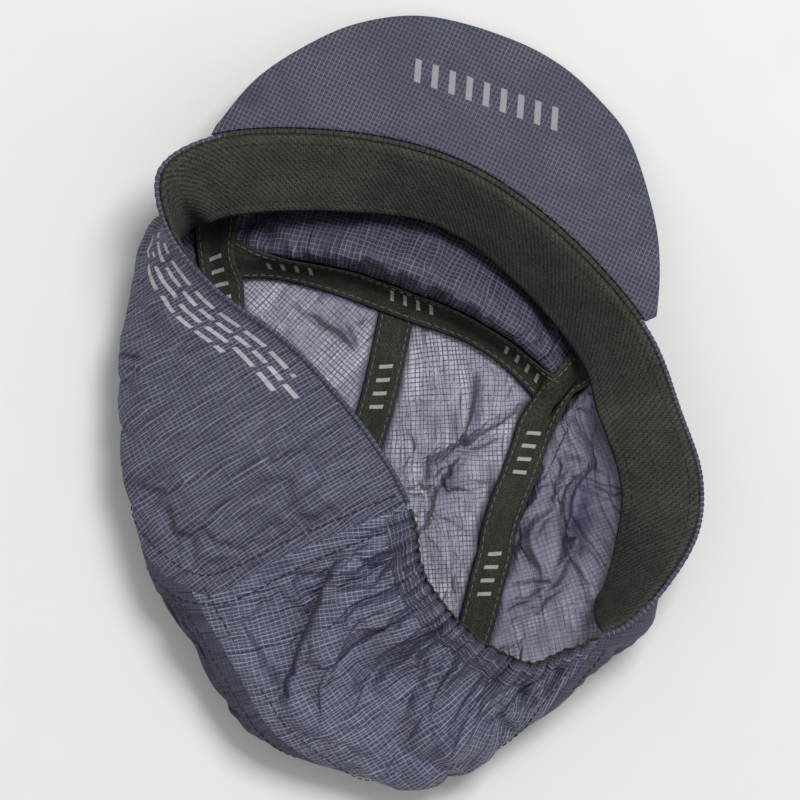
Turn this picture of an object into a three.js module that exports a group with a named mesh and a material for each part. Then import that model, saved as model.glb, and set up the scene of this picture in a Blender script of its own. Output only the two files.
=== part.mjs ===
import * as THREE from 'three'

// A cycling cap that lies upside down on its crown, in millimetres. The tables are in plan:
// x to the right and y up, as seen from straight above. The last lines turn the cap so that
// its peak points to -Y, stand it on z = 0 and centre its box on the origin.
// Left and right in names are the wearer's.

// Driving sizes
const CLOTH = 1.0
const BAND_WIDTH = 28
const BAND_THICK = 1.5
const TAPE_HALF_WIDTH = 6
const TAPE_THICK = 1.0
const PEAK_THICK = 3.0
const HEM_RADIUS = 1.3
const CASING_WIDTH = 10
const CASING_THICK = 2.4
const GAP = 0.4
const PANEL_GAP = 0.9
const BAND_GAP = 0.8
const PEAK_SLOPE = 0.63
const FLOOR = CLOTH / 2
const CROWN_CENTRE = new THREE.Vector3(-17, -31, FLOOR)
const PLAN_TURN = THREE.MathUtils.degToRad(-156.4)

// Where the seams leave the rim, in degrees round the head from the front centre to the
// wearer's right, rear and left
const RIGHT_SEAM_FRONT = 45
const RIGHT_SEAM_REAR = 157.5
const LEFT_SEAM_REAR = 202.5
const LEFT_SEAM_FRONT = 315

// The crown's wall at stations round the head. From the rim it runs over a shoulder to the
// belly, its widest or lowest outer point, then to its foot on the ground and over a ridge to
// the crown's centre. footIn is how far the foot lies inside the belly, ridgeShare is the
// ridge's place between foot and centre, and band is the lower edge of the sweatband.
const stations = table(
  'turn rimX rimY rimZ shoulderX shoulderY shoulderZ bellyX bellyY bellyZ footIn ridgeShare ridgeZ bandX bandY',
  [
    [0, 19.8, 79.2, 30, 13.1, 62.2, 8.8, 16.4, 69.6, 4.5, 8, 0.235, 18, 12.4, 60.3],
    [22.5, -21.7, 89, 31, -22.3, 66, 15.5, -22.5, 76, 6.5, 8, 0.195, 17, -22.4, 64.3],
    [45, -64.9, 86.8, 33, -59.8, 63.6, 19.5, -62, 72, 9, 8, 0.165, 8, -58.6, 62],
    [58, -80.2, 76.2, 37, -69, 60.6, 17.5, -76, 65, 11, 9, 0.2, 1, -67, 59],
    [70, -77.6, 56.8, 41, -82, 56, 26, -85, 56, 17, 12, 0.25, 0.5, -74, 55.6],
    [85, -61.5, 36.8, 46, -82, 29, 31, -92.5, 24, 18, 16, 0.3, 0.5, -81.3, 28.6],
    [105, -36, 17.7, 50, -60.6, 12.4, 41, -94.9, 5, 20, 18, 0.3, 0.5, -60.6, 12.4],
    [130, -11.1, -10.8, 52, -36.6, -17, 46, -91.2, -30.3, 20, 18, 0.3, 0.5, -36.6, -17],
    [157.5, 2.9, -35, 51, -22.4, -43.9, 45, -81.4, -64.6, 18, 16, 0.3, 0.5, -22.4, -43.9],
    [168, 6.6, -56.4, 49, -15.3, -70.9, 43, -59.9, -100.3, 16, 14, 0.3, 0.5, -15.3, -70.9],
    [174, 13.4, -68.3, 47, -8.8, -84, 40, -50, -113, 15.5, 14, 0.3, 0.5, -8.8, -84],
    [180, 22.4, -77.6, 45, 4.5, -95.7, 37, -23.6, -123.9, 15, 13, 0.3, 0.5, 4.5, -95.7],
    [191, 43, -88.3, 40, 27, -108, 33, 8.4, -130.5, 14, 12, 0.3, 0.5, 27, -108],
    [202.5, 67.4, -79, 35, 57, -94, 27, 49.6, -104.5, 15, 12, 0.3, 0.5, 64.3, -74.4],
    [212, 75.7, -75.7, 33, 73, -83, 27, 67, -88.4, 16, 12, 0.3, 0.5, 67, -68.7],
    [225, 85.4, -66.7, 31, 86, -71, 25, 84, -72.7, 14, 12, 0.3, 0.5, 70, -64],
    [245, 99.2, -45.1, 27, 76, -39.5, 12, 65, -36, 6, 10, 0.3, 0.5, 75, -38.5],
    [265, 100.8, -26.1, 25, 75, -26, 13, 63, -24, 6, 10, 0.3, 0.5, 74.4, -26.1],
    [288, 93.8, -4, 25, 68, -4, 14, 57, -6, 6, 8, 0.12, 0.5, 67, -4],
    [315, 83, 22.8, 26, 64.8, 12.6, 8.3, 66, 13.5, 4, 6, 0.1, 6, 63.3, 11.4],
    [337.5, 53.4, 56.5, 28, 40, 43.6, 7.5, 46, 48.3, 4, 8, 0.185, 17, 38.5, 42.2]
  ]
)

// Points on the seams by their place in the crown as a disc: side runs from the left ear at
// -1 to the right ear at 1, and front from the rear rim at -1 to the front rim at 1
const crossSeam = table('side front', [
  [-0.5, 0.38],
  [-0.26, 0.43],
  [0.03, 0.42],
  [0.28, 0.4],
  [0.47, 0.35]
])
const rearSeam = table('side front', [
  [0.2, -0.5],
  [0.12, -0.56],
  [0.03, -0.58],
  [-0.05, -0.56],
  [-0.12, -0.5]
])
const centreSeam = table('side front', [
  [0.03, 0.42],
  [0.0, 0.12],
  [0.02, -0.25],
  [0.03, -0.58]
])
const rightSeam = table('side front', [
  [0.56, 0.57],
  [0.47, 0.35],
  [0.42, 0.12],
  [0.38, -0.1],
  [0.3, -0.32],
  [0.2, -0.5],
  [0.28, -0.7]
])
const leftSeam = table('side front', [
  [-0.57, 0.57],
  [-0.5, 0.38],
  [-0.51, 0.14],
  [-0.43, -0.12],
  [-0.27, -0.3],
  [-0.12, -0.5],
  [-0.27, -0.7]
])

// Main folds as lines over the disc. A positive height rises into the head's hollow.
const folds = table('fromSide fromFront toSide toFront width height', [
  [0.3, -0.82, 0.09, -0.6, 0.03, 3],
  [0.2, -0.88, 0.0, -0.62, 0.03, -2],
  [0.03, -0.93, -0.06, -0.68, 0.03, 2],
  [-0.12, -0.93, -0.14, -0.7, 0.03, -2],
  [-0.52, -0.08, -0.34, -0.42, 0.03, 3],
  [-0.66, -0.05, -0.46, -0.48, 0.03, 3.5],
  [-0.3, 0.3, -0.2, -0.1, 0.03, 2.5]
])

// The peak's outer edge from the wearer's right to left
const peakEdge = table('x y', [
  [-63, 89.5],
  [-48.6, 107.5],
  [-31.5, 119.6],
  [-14.4, 127.3],
  [8.4, 130],
  [38.5, 121.9],
  [55.6, 112.6],
  [68.3, 100.8],
  [77.1, 89.4],
  [85.8, 61.3],
  [87.3, 45],
  [86, 27]
])

// Steps of the meshes
const NET_TURNS = 240
const NET_ROWS = 96
const HALF_STEPS = 7
const LONG_STEPS = 19
const RING_STEPS = 13
const BAND_ROWS = 4
const HEM_STEPS = 72
const HEM_SIDES = 6
const CASING_WAVES = 13
const CASING_STEPS_PER_WAVE = 4
const PEAK_COLUMNS = 20
const PEAK_ROWS = 7

// Reads a table of rows into objects with named columns
function table(columns, rows) {
  const names = columns.split(' ')
  return rows.map((row) => Object.fromEntries(names.map((name, i) => [name, row[i]])))
}

const lerp = THREE.MathUtils.lerp
const clamp = THREE.MathUtils.clamp

// One smooth closed curve through the same point of every station
function ringCurve(pointAt) {
  return new THREE.CatmullRomCurve3(stations.map(pointAt), true, 'centripetal')
}

function bellyPoint(s) {
  return new THREE.Vector3(s.bellyX, s.bellyY, s.bellyZ)
}

function footPoint(s) {
  const belly = bellyPoint(s).setZ(FLOOR)
  const inward = CROWN_CENTRE.clone().sub(belly).normalize()
  return belly.addScaledVector(inward, s.footIn)
}

function floorPoint(s, share, height) {
  return footPoint(s).lerp(CROWN_CENTRE, share).setZ(Math.max(height, FLOOR))
}

const rimCurve = ringCurve((s) => new THREE.Vector3(s.rimX, s.rimY, s.rimZ))
const bandEdgeCurve = ringCurve((s) => new THREE.Vector3(s.bandX, s.bandY, 0))
const wallCurves = [
  rimCurve,
  ringCurve((s) => new THREE.Vector3(s.shoulderX, s.shoulderY, s.shoulderZ)),
  ringCurve(bellyPoint),
  ringCurve(footPoint),
  ringCurve((s) => floorPoint(s, s.ridgeShare, s.ridgeZ)),
  ringCurve((s) => floorPoint(s, s.ridgeShare + 0.07, s.ridgeZ * 0.15)),
  ringCurve((s) => floorPoint(s, 0.6, FLOOR))
]

// The ring curves' parameter at a turn in degrees
function ringShare(turn) {
  const t = THREE.MathUtils.euclideanModulo(turn, 360)
  const i = stations.findLastIndex((s) => s.turn <= t)
  const next = i + 1 < stations.length ? stations[i + 1].turn : 360
  return (i + (t - stations[i].turn) / (next - stations[i].turn)) / stations.length
}

// The wall's middle surface as a net of points, a profile for each turn
const net = []
const profileLengths = []
for (let i = 0; i < NET_TURNS; i++) {
  const share = ringShare((i * 360) / NET_TURNS)
  const knots = wallCurves.map((curve) => curve.getPoint(share))
  const profile = new THREE.CatmullRomCurve3([...knots, CROWN_CENTRE], false, 'centripetal')
  const points = profile.getSpacedPoints(NET_ROWS)
  for (const p of points) p.z = Math.max(p.z, FLOOR)
  net.push(points)
  profileLengths.push(profile.getLength())
}

// How far the folds lift the wall at a place of the disc
function foldHeight(side, front) {
  let height = 0
  for (const fold of folds) {
    const run = new THREE.Vector2(fold.toSide - fold.fromSide, fold.toFront - fold.fromFront)
    const from = new THREE.Vector2(side - fold.fromSide, front - fold.fromFront)
    const along = clamp(from.dot(run) / run.lengthSq(), 0, 1)
    const away = from.addScaledVector(run, -along).length() / fold.width
    height += fold.height * Math.exp(-away * away) * Math.sin(Math.PI * clamp(along, 0.08, 0.92))
  }
  return height
}

function wallPoint(side, front) {
  const rho = Math.min(Math.hypot(side, front), 1)
  const turns = (THREE.MathUtils.euclideanModulo(Math.atan2(side, front), 2 * Math.PI) * NET_TURNS) / (2 * Math.PI)
  const i = Math.floor(turns) % NET_TURNS
  const row = (1 - rho) * NET_ROWS
  const j = Math.min(Math.floor(row), NET_ROWS - 1)
  const across = net[i][j].clone().lerp(net[i][j + 1], row - j)
  const next = net[(i + 1) % NET_TURNS]
  return across.lerp(next[j].clone().lerp(next[j + 1], row - j), turns - Math.floor(turns))
}

// A point of the wall with its normal, which points into the head's hollow
function wallSample(place) {
  const step = 0.012
  const rho = place.length()
  const inside = rho > 1 - step ? place.clone().multiplyScalar((1 - step) / rho) : place
  const alongSide = wallPoint(inside.x + step, inside.y).sub(wallPoint(inside.x - step, inside.y))
  const alongFront = wallPoint(inside.x, inside.y + step).sub(wallPoint(inside.x, inside.y - step))
  const normal = alongFront.cross(alongSide).normalize()
  const point = wallPoint(place.x, place.y).addScaledVector(normal, foldHeight(place.x, place.y))
  point.z = Math.max(point.z, FLOOR)
  return { point, normal, place }
}

// The disc place at a turn in degrees and a depth in millimetres below the rim
function placeAt(turn, depth) {
  const angle = THREE.MathUtils.degToRad(turn)
  const i = Math.round((THREE.MathUtils.euclideanModulo(turn, 360) * NET_TURNS) / 360) % NET_TURNS
  const rho = 1 - depth / profileLengths[i]
  return new THREE.Vector2(Math.sin(angle) * rho, Math.cos(angle) * rho)
}

// A path over the wall that is read by its share of the real length
class WallPath {
  constructor(placeOf) {
    const steps = 160
    this.places = []
    this.lengths = [0]
    for (let i = 0; i <= steps; i++) this.places.push(placeOf(i / steps))
    for (let i = 1; i <= steps; i++) {
      const a = wallPoint(this.places[i - 1].x, this.places[i - 1].y)
      const b = wallPoint(this.places[i].x, this.places[i].y)
      this.lengths.push(this.lengths[i - 1] + a.distanceTo(b))
    }
    this.length = this.lengths[steps]
  }

  at(share) {
    const wanted = clamp(share, 0, 1) * this.length
    const i = clamp(this.lengths.findIndex((l) => l >= wanted), 1, this.lengths.length - 1)
    const part = (wanted - this.lengths[i - 1]) / Math.max(this.lengths[i] - this.lengths[i - 1], 1e-9)
    return this.places[i - 1].clone().lerp(this.places[i], part)
  }

  reversed() {
    return new WallPath((share) => this.at(1 - share))
  }
}

const TOP_DEPTH = HEM_RADIUS + GAP + 0.3

function rimPath(fromTurn, toTurn) {
  return new WallPath((share) => placeAt(lerp(fromTurn, toTurn, share), TOP_DEPTH))
}

// A seam as smooth paths between the listed nodes, with extra points before and after
function seamPaths(rows, nodes, before = [], after = []) {
  const points = [...before, ...rows.map((row) => new THREE.Vector2(row.side, row.front)), ...after]
  const curve = new THREE.SplineCurve(points)
  const last = points.length - 1
  return nodes.slice(1).map((node, i) => {
    return new WallPath((share) => curve.getPoint(lerp(nodes[i], node, share) / last))
  })
}

const [rightFront, rightTop, rightRear] = seamPaths(
  rightSeam,
  [0, 2, 6, 8],
  [placeAt(RIGHT_SEAM_FRONT, TOP_DEPTH)],
  [placeAt(RIGHT_SEAM_REAR, TOP_DEPTH)]
)
const [leftFront, leftTop, leftRear] = seamPaths(
  leftSeam,
  [0, 2, 6, 8],
  [placeAt(LEFT_SEAM_FRONT, TOP_DEPTH)],
  [placeAt(LEFT_SEAM_REAR, TOP_DEPTH)]
)
const [crossLeft, crossRight] = seamPaths(crossSeam, [0, 2, 4])
const [rearRight, rearLeft] = seamPaths(rearSeam, [0, 2, 4])
const [centre] = seamPaths(centreSeam, [0, 3])

// Two paths end to end, read by share of the whole length
function joined(first, second) {
  const split = first.length / (first.length + second.length)
  const path = new WallPath((share) => (share < split ? first.at(share / split) : second.at((share - split) / (1 - split))))
  path.split = split
  return path
}

// A patch between four paths that share their corners
function coons(top, bottom, start, end) {
  const corners = [top.at(0), top.at(1), bottom.at(0), bottom.at(1)]
  return (u, v) => {
    const place = top.at(u).multiplyScalar(1 - v).addScaledVector(bottom.at(u), v)
    place.addScaledVector(start.at(v), 1 - u).addScaledVector(end.at(v), u)
    place.addScaledVector(corners[0], -(1 - u) * (1 - v)).addScaledVector(corners[1], -u * (1 - v))
    return place.addScaledVector(corners[2], -(1 - u) * v).addScaledVector(corners[3], -u * v)
  }
}

// Shares of a length with a first step of a tape's half width at each end, and even steps between
function evenStops(length, steps, from = PANEL_GAP / 2, to = PANEL_GAP / 2) {
  const stops = [from]
  const a = Math.max(TAPE_HALF_WIDTH, from + 3)
  const b = length - TAPE_HALF_WIDTH
  for (let i = 0; i <= steps - 2; i++) stops.push(lerp(a, b, i / (steps - 2)))
  stops.push(length - to)
  return stops.map((stop) => stop / length)
}

function splitStops(length, steps, split) {
  const first = evenStops(length * split, steps, PANEL_GAP / 2, 0).map((stop) => stop * split)
  const second = evenStops(length * (1 - split), steps, 0, PANEL_GAP / 2).map((stop) => split + stop * (1 - split))
  return [...first, ...second.slice(1)]
}

// Steps down from the rim: even rows under the sweatband, then even rows to the seam
function ringStops(length, first) {
  const stops = []
  const rows = RING_STEPS - BAND_ROWS - 1
  const bandEnd = BAND_WIDTH - TOP_DEPTH
  for (let i = 0; i < BAND_ROWS; i++) stops.push(lerp(first, bandEnd, i / BAND_ROWS))
  for (let i = 0; i <= rows; i++) stops.push(lerp(bandEnd, length - TAPE_HALF_WIDTH, i / rows))
  stops.push(length - PANEL_GAP / 2)
  return stops.map((stop) => stop / length)
}

// Samples of a patch in rows and columns. The stops depend on the length of each row and column.
function sampleGrid(patch, columnStops, rowStops) {
  const rowCount = rowStops(100).length
  const columnCount = columnStops(100).length
  const grid = []
  const rowLengths = []
  const columnLengths = []
  for (let j = 0; j < rowCount; j++) {
    rowLengths.push(new WallPath((s) => patch(s, j / (rowCount - 1))).length)
  }
  for (let i = 0; i < columnCount; i++) {
    columnLengths.push(new WallPath((s) => patch(i / (columnCount - 1), s)).length)
  }
  for (let j = 0; j < rowCount; j++) {
    const row = []
    const us = columnStops(rowLengths[j])
    for (let i = 0; i < columnCount; i++) {
      const v = rowStops(columnLengths[i])[j]
      row.push(wallSample(patch(us[i], v)))
    }
    grid.push(row)
  }
  return grid
}

// A closed solid on a grid of samples, from one offset along the normals to another. Each cell
// is cut along its shorter diagonal, so sheets that lie on each other are faceted alike.
function sheetGeometry(grid, from, to) {
  const rows = grid.length
  const columns = grid[0].length
  const positions = []
  for (const offset of [from, to]) {
    for (const row of grid) {
      for (const sample of row) {
        const p = sample.point.clone().addScaledVector(sample.normal, offset)
        positions.push(p.x, p.y, Math.max(p.z, 0))
      }
    }
  }
  const index = (side, j, i) => side * rows * columns + j * columns + i
  const faces = []
  const quad = (a, b, c, d) => faces.push(a, b, c, a, c, d)
  for (let j = 0; j < rows - 1; j++) {
    for (let i = 0; i < columns - 1; i++) {
      const falling = grid[j][i].point.distanceTo(grid[j + 1][i + 1].point)
      const rising = grid[j][i + 1].point.distanceTo(grid[j + 1][i].point)
      const around = [[j, i], [j, i + 1], [j + 1, i + 1], [j + 1, i]]
      if (rising < falling) around.push(around.shift())
      const [a, b, c, d] = around
      quad(index(0, ...a), index(0, ...b), index(0, ...c), index(0, ...d))
      quad(index(1, ...a), index(1, ...d), index(1, ...c), index(1, ...b))
    }
  }
  for (let i = 0; i < columns - 1; i++) {
    quad(index(0, 0, i), index(1, 0, i), index(1, 0, i + 1), index(0, 0, i + 1))
    quad(index(0, rows - 1, i), index(0, rows - 1, i + 1), index(1, rows - 1, i + 1), index(1, rows - 1, i))
  }
  for (let j = 0; j < rows - 1; j++) {
    quad(index(0, j, 0), index(0, j + 1, 0), index(1, j + 1, 0), index(1, j, 0))
    quad(index(0, j, columns - 1), index(1, j, columns - 1), index(1, j + 1, columns - 1), index(0, j + 1, columns - 1))
  }
  return solidGeometry(positions, faces)
}

// A closed solid between cross-sections that each are a loop of points, open at neither end
function loftGeometry(sections, closed) {
  const sides = sections[0].length
  const positions = sections.flat().flatMap((p) => [p.x, p.y, Math.max(p.z, 0)])
  const count = sections.length
  const faces = []
  for (let k = 0; k < (closed ? count : count - 1); k++) {
    const next = (k + 1) % count
    for (let i = 0; i < sides; i++) {
      const j = (i + 1) % sides
      faces.push(k * sides + i, next * sides + i, next * sides + j)
      faces.push(k * sides + i, next * sides + j, k * sides + j)
    }
  }
  if (!closed) {
    for (let i = 1; i < sides - 1; i++) {
      faces.push(0, i, i + 1)
      faces.push((count - 1) * sides, (count - 1) * sides + i + 1, (count - 1) * sides + i)
    }
  }
  return solidGeometry(positions, faces)
}

// Turns the faces outward where the volume comes out negative
function solidGeometry(positions, faces) {
  const at = (i) => new THREE.Vector3(positions[3 * i], positions[3 * i + 1], positions[3 * i + 2])
  let volume = 0
  for (let f = 0; f < faces.length; f += 3) {
    volume += at(faces[f]).dot(at(faces[f + 1]).cross(at(faces[f + 2]))) / 6
  }
  const index = volume > 0 ? faces : faces.slice().reverse()
  const geometry = new THREE.BufferGeometry()
  geometry.setAttribute('position', new THREE.Float32BufferAttribute(positions, 3))
  geometry.setIndex(index)
  return geometry
}

// Patches and their grids. Ring panels run down from the rim, top panels from the cross seam
// to the rear seam.
const crossWhole = joined(crossLeft, crossRight)
const rearWhole = joined(rearRight, rearLeft)
const panelRows = (length) => ringStops(length, 0)
const rearRows = (length) => ringStops(length, CASING_WIDTH - TOP_DEPTH + GAP + 0.3)
const longStops = (length) => evenStops(length, LONG_STEPS)
const halfStops = (length) => evenStops(length, HALF_STEPS)

const grids = {
  front: sampleGrid(
    coons(rimPath(LEFT_SEAM_FRONT, RIGHT_SEAM_FRONT + 360), crossWhole, leftFront, rightFront),
    (length) => splitStops(length, HALF_STEPS, crossWhole.split),
    panelRows
  ),
  rightSide: sampleGrid(
    coons(rimPath(RIGHT_SEAM_FRONT, RIGHT_SEAM_REAR), rightTop, rightFront, rightRear.reversed()),
    longStops,
    panelRows
  ),
  rear: sampleGrid(
    coons(rimPath(RIGHT_SEAM_REAR, LEFT_SEAM_REAR), rearWhole, rightRear.reversed(), leftRear.reversed()),
    (length) => splitStops(length, HALF_STEPS, rearWhole.split),
    rearRows
  ),
  leftSide: sampleGrid(
    coons(rimPath(LEFT_SEAM_REAR, LEFT_SEAM_FRONT), leftTop.reversed(), leftRear.reversed(), leftFront),
    longStops,
    panelRows
  ),
  rightTop: sampleGrid(coons(crossRight.reversed(), rearRight, rightTop, centre), halfStops, longStops),
  leftTop: sampleGrid(coons(crossLeft.reversed(), rearLeft, centre, leftTop), halfStops, longStops)
}

// Seam tapes lie on the inner side of the panels, over the last column or row of each panel
// beside the seam. A cross-section is four samples from one edge of the tape to the other.
const lastRow = RING_STEPS
const crossColumns = 2 * HALF_STEPS

function between(a, b, share) {
  const normal = a.normal.clone().lerp(b.normal, share).normalize()
  return { point: a.point.clone().lerp(b.point, share), normal }
}

// Draws the first section towards the second, so that a tape ends a gap before the next one
function shortened(sections, by) {
  const [first, second] = sections
  const trimmed = first.map((sample, i) => {
    const run = second[i].point.clone().sub(sample.point)
    const point = sample.point.clone().addScaledVector(run.clone().normalize(), by)
    return { point, normal: sample.normal.clone().lerp(second[i].normal, by / run.length()).normalize() }
  })
  return [trimmed, ...sections.slice(1)]
}

function trimmedBothEnds(sections) {
  return shortened(shortened(sections, PANEL_GAP).reverse(), PANEL_GAP).reverse()
}

function crossTapeSections() {
  const sections = []
  for (let i = 1; i < crossColumns; i++) {
    const onLeft = i <= HALF_STEPS
    const top = onLeft ? grids.leftTop : grids.rightTop
    const column = onLeft ? HALF_STEPS - i : crossColumns - i
    sections.push([grids.front[lastRow - 1][i], grids.front[lastRow][i], top[0][column], top[1][column]])
  }
  return trimmedBothEnds(sections)
}

function centreTapeSections() {
  const sections = []
  for (let j = 1; j < LONG_STEPS; j++) {
    const right = grids.rightTop[j]
    const left = grids.leftTop[j]
    sections.push([right[HALF_STEPS - 1], right[HALF_STEPS], left[0], left[1]])
  }
  return shortened(sections, PANEL_GAP)
}

// A side tape runs from the sweatband down beside the front panel, along the top panel and up
// beside the rear panel. Each neighbour gives a sample at the tape's edge and one at the seam.
// At its two corners the tape's inner edge turns round one point of the side panel.
function sideTapeSections(side, sideColumn, front, top, rear) {
  const pair = (grid, j, place) => [grid[j][place.edge], grid[j][place.seam]]
  const at = (j, i) => side[j][sideColumn(i)]
  const sections = []
  const addCorner = (i, inward, ring, topRow) => {
    const row = lastRow - 1
    const turning = at(row, i + inward)
    const before = [...pair(ring.grid, row, ring), at(row, i), between(at(row - 1, i + inward), turning, 0.8)]
    const ringEnd = pair(ring.grid, lastRow, ring)
    const topEnd = pair(top.grid, topRow, top)
    const corner = [between(ringEnd[0], topEnd[0], 0.5), between(ringEnd[1], topEnd[1], 0.5), at(lastRow, i), turning]
    const inner = between(turning, at(row, i + 2 * inward), 0.2)
    const after = [...pair(top.grid, topRow + inward, top), at(lastRow, i + inward), inner]
    sections.push(...(inward > 0 ? [before, corner, after] : [after, corner, before]))
  }
  for (let j = BAND_ROWS + 1; j < lastRow - 1; j++) sections.push([...pair(front.grid, j, front), at(j, 0), at(j, 1)])
  addCorner(0, 1, front, 0)
  for (let i = 2; i < LONG_STEPS - 1; i++) {
    sections.push([...pair(top.grid, i, top), at(lastRow, i), at(lastRow - 1, i)])
  }
  addCorner(LONG_STEPS, -1, rear, LONG_STEPS)
  for (let j = lastRow - 2; j > BAND_ROWS; j--) {
    sections.push([...pair(rear.grid, j, rear), at(j, LONG_STEPS), at(j, LONG_STEPS - 1)])
  }
  return sections
}

function rightTapeSections() {
  return sideTapeSections(
    grids.rightSide,
    (i) => i,
    { grid: grids.front, edge: crossColumns - 1, seam: crossColumns },
    { grid: grids.rightTop, edge: 1, seam: 0 },
    { grid: grids.rear, edge: 1, seam: 0 }
  )
}

function leftTapeSections() {
  return sideTapeSections(
    grids.leftSide,
    (i) => LONG_STEPS - i,
    { grid: grids.front, edge: 1, seam: 0 },
    { grid: grids.leftTop, edge: HALF_STEPS - 1, seam: HALF_STEPS },
    { grid: grids.rear, edge: crossColumns - 1, seam: crossColumns }
  )
}

// The rim's point, tangent and horizontal outward direction at a turn
function rimFrame(turn) {
  const share = ringShare(turn)
  const point = rimCurve.getPoint(share)
  const tangent = rimCurve.getTangent(share)
  const outward = new THREE.Vector3(tangent.y, -tangent.x, 0).normalize()
  return { point, tangent, outward }
}

// The sweatband hangs straight from the rim to its lower edge, inside the wall
function bandColumn(turn) {
  const { point, tangent } = rimFrame(turn)
  const edge = bandEdgeCurve.getPoint(ringShare(turn))
  const run = new THREE.Vector3(edge.x - point.x, edge.y - point.y, 0)
  const reach = Math.min(run.length(), BAND_WIDTH - 0.1)
  run.setLength(reach).setZ(-Math.sqrt(BAND_WIDTH ** 2 - reach ** 2))
  const along = run.clone().normalize()
  const normal = tangent.clone().cross(along).normalize()
  const column = []
  for (let j = 0; j <= BAND_ROWS; j++) {
    const depth = lerp(TOP_DEPTH, BAND_WIDTH, j / BAND_ROWS)
    column.push({ point: point.clone().addScaledVector(along, depth), normal })
  }
  return column
}

function turnOf(sample) {
  return THREE.MathUtils.radToDeg(Math.atan2(sample.place.x, sample.place.y))
}

function bandGrid() {
  const rims = [...grids.leftSide[0], ...grids.front[0].slice(1), ...grids.rightSide[0].slice(1)]
  return rims.map((sample) => bandColumn(turnOf(sample)))
}

// The turned rim is a roll round the edge of the wall, open at the rear
function hemSections() {
  const sections = []
  const from = LEFT_SEAM_REAR + 0.6
  const to = RIGHT_SEAM_REAR + 360 - 0.6
  for (let k = 0; k <= HEM_STEPS; k++) {
    const { point, tangent, outward } = rimFrame(lerp(from, to, k / HEM_STEPS))
    const up = outward.clone().cross(tangent).normalize()
    const loop = []
    for (let i = 0; i < HEM_SIDES; i++) {
      const angle = (2 * Math.PI * i) / HEM_SIDES
      const reach = outward.clone().multiplyScalar(Math.cos(angle)).addScaledVector(up, Math.sin(angle))
      loop.push(point.clone().addScaledVector(reach, HEM_RADIUS))
    }
    sections.push(loop)
  }
  return sections
}

// The casing round the elastic is gathered into waves
function casingSections() {
  const sections = []
  const count = CASING_WAVES * CASING_STEPS_PER_WAVE
  for (let k = 0; k <= count; k++) {
    const turn = lerp(RIGHT_SEAM_REAR + 0.6, LEFT_SEAM_REAR - 0.6, k / count)
    const wave = Math.sin((2 * Math.PI * k) / CASING_STEPS_PER_WAVE + 0.6)
    const half = CASING_THICK / 2
    const at = (depth, offset) => {
      const sample = wallSample(placeAt(turn, depth))
      return sample.point.clone().addScaledVector(sample.normal, offset)
    }
    const top = at(0, 0)
    const below = at(4, 0)
    const crest = top.clone().add(top.clone().sub(below).setLength(1.2 + 0.5 * wave))
    sections.push([
      crest,
      at(1, half + 0.5 * wave),
      at(5, half + 0.4 * wave),
      at(CASING_WIDTH, half * 0.6),
      at(CASING_WIDTH, -half * 0.6),
      at(5, -half + 0.6 * wave),
      at(1, -half + 0.4 * wave)
    ])
  }
  return sections
}

// The peak curves down from the rim to its outer edge
const peakOuter = new THREE.CatmullRomCurve3(
  peakEdge.map((p) => new THREE.Vector3(p.x, p.y, 0)),
  false,
  'centripetal'
)

function peakPoint(u, v) {
  const { point, outward } = rimFrame(lerp(RIGHT_SEAM_FRONT - 1, LEFT_SEAM_FRONT - 360 + 1.5, u))
  const inner = point.clone().addScaledVector(outward, HEM_RADIUS + GAP + 0.3)
  const outer = peakOuter.getPointAt(u).setZ(inner.z)
  const reach = inner.distanceTo(outer)
  const p = inner.lerp(outer, v)
  p.z -= PEAK_SLOPE * reach * v
  p.z = Math.max(p.z, PEAK_THICK / 2 + 0.4)
  return p
}

function peakGrid() {
  const grid = []
  const step = 0.01
  for (let j = 0; j <= PEAK_ROWS; j++) {
    const row = []
    for (let i = 0; i <= PEAK_COLUMNS; i++) {
      const u = lerp(0.012, 0.988, i / PEAK_COLUMNS)
      const v = j / PEAK_ROWS
      const across = peakPoint(u + step, v).sub(peakPoint(u - step, v))
      const outward = peakPoint(u, Math.min(v + step, 1)).sub(peakPoint(u, Math.max(v - step, 0)))
      const normal = outward.cross(across).normalize()
      if (normal.z < 0) normal.negate()
      row.push({ point: peakPoint(u, v), normal })
    }
    grid.push(row)
  }
  return grid
}

const looks = {
  ripstop: { color: 0x565a70, roughness: 0.75, metalness: 0 },
  tape: { color: 0x36382f, roughness: 0.85, metalness: 0 },
  knit: { color: 0x33342d, roughness: 0.95, metalness: 0 }
}

const cap = new THREE.Group()
function add(name, geometry, look) {
  const mesh = new THREE.Mesh(geometry, new THREE.MeshStandardMaterial(looks[look]))
  mesh.name = name
  cap.add(mesh)
}

const panelNames = {
  front: 'front_panel',
  rightSide: 'right_side_panel',
  rear: 'rear_panel',
  leftSide: 'left_side_panel',
  rightTop: 'right_top_panel',
  leftTop: 'left_top_panel'
}
for (const [key, name] of Object.entries(panelNames)) {
  add(name, sheetGeometry(grids[key], -CLOTH / 2, CLOTH / 2), 'ripstop')
}

const tapeFrom = CLOTH / 2 + GAP
const tapeTo = tapeFrom + TAPE_THICK
add('cross_tape', sheetGeometry(crossTapeSections(), tapeFrom, tapeTo), 'tape')
add('centre_tape', sheetGeometry(centreTapeSections(), tapeFrom, tapeTo), 'tape')
add('right_side_tape', sheetGeometry(rightTapeSections(), tapeFrom, tapeTo), 'tape')
add('left_side_tape', sheetGeometry(leftTapeSections(), tapeFrom, tapeTo), 'tape')
const bandFrom = CLOTH / 2 + BAND_GAP
add('sweatband', sheetGeometry(bandGrid(), bandFrom, bandFrom + BAND_THICK), 'knit')
add('rim_hem', loftGeometry(hemSections(), false), 'ripstop')
add('elastic_casing', loftGeometry(casingSections(), false), 'ripstop')
add('peak', sheetGeometry(peakGrid(), -PEAK_THICK / 2, PEAK_THICK / 2), 'ripstop')

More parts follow.
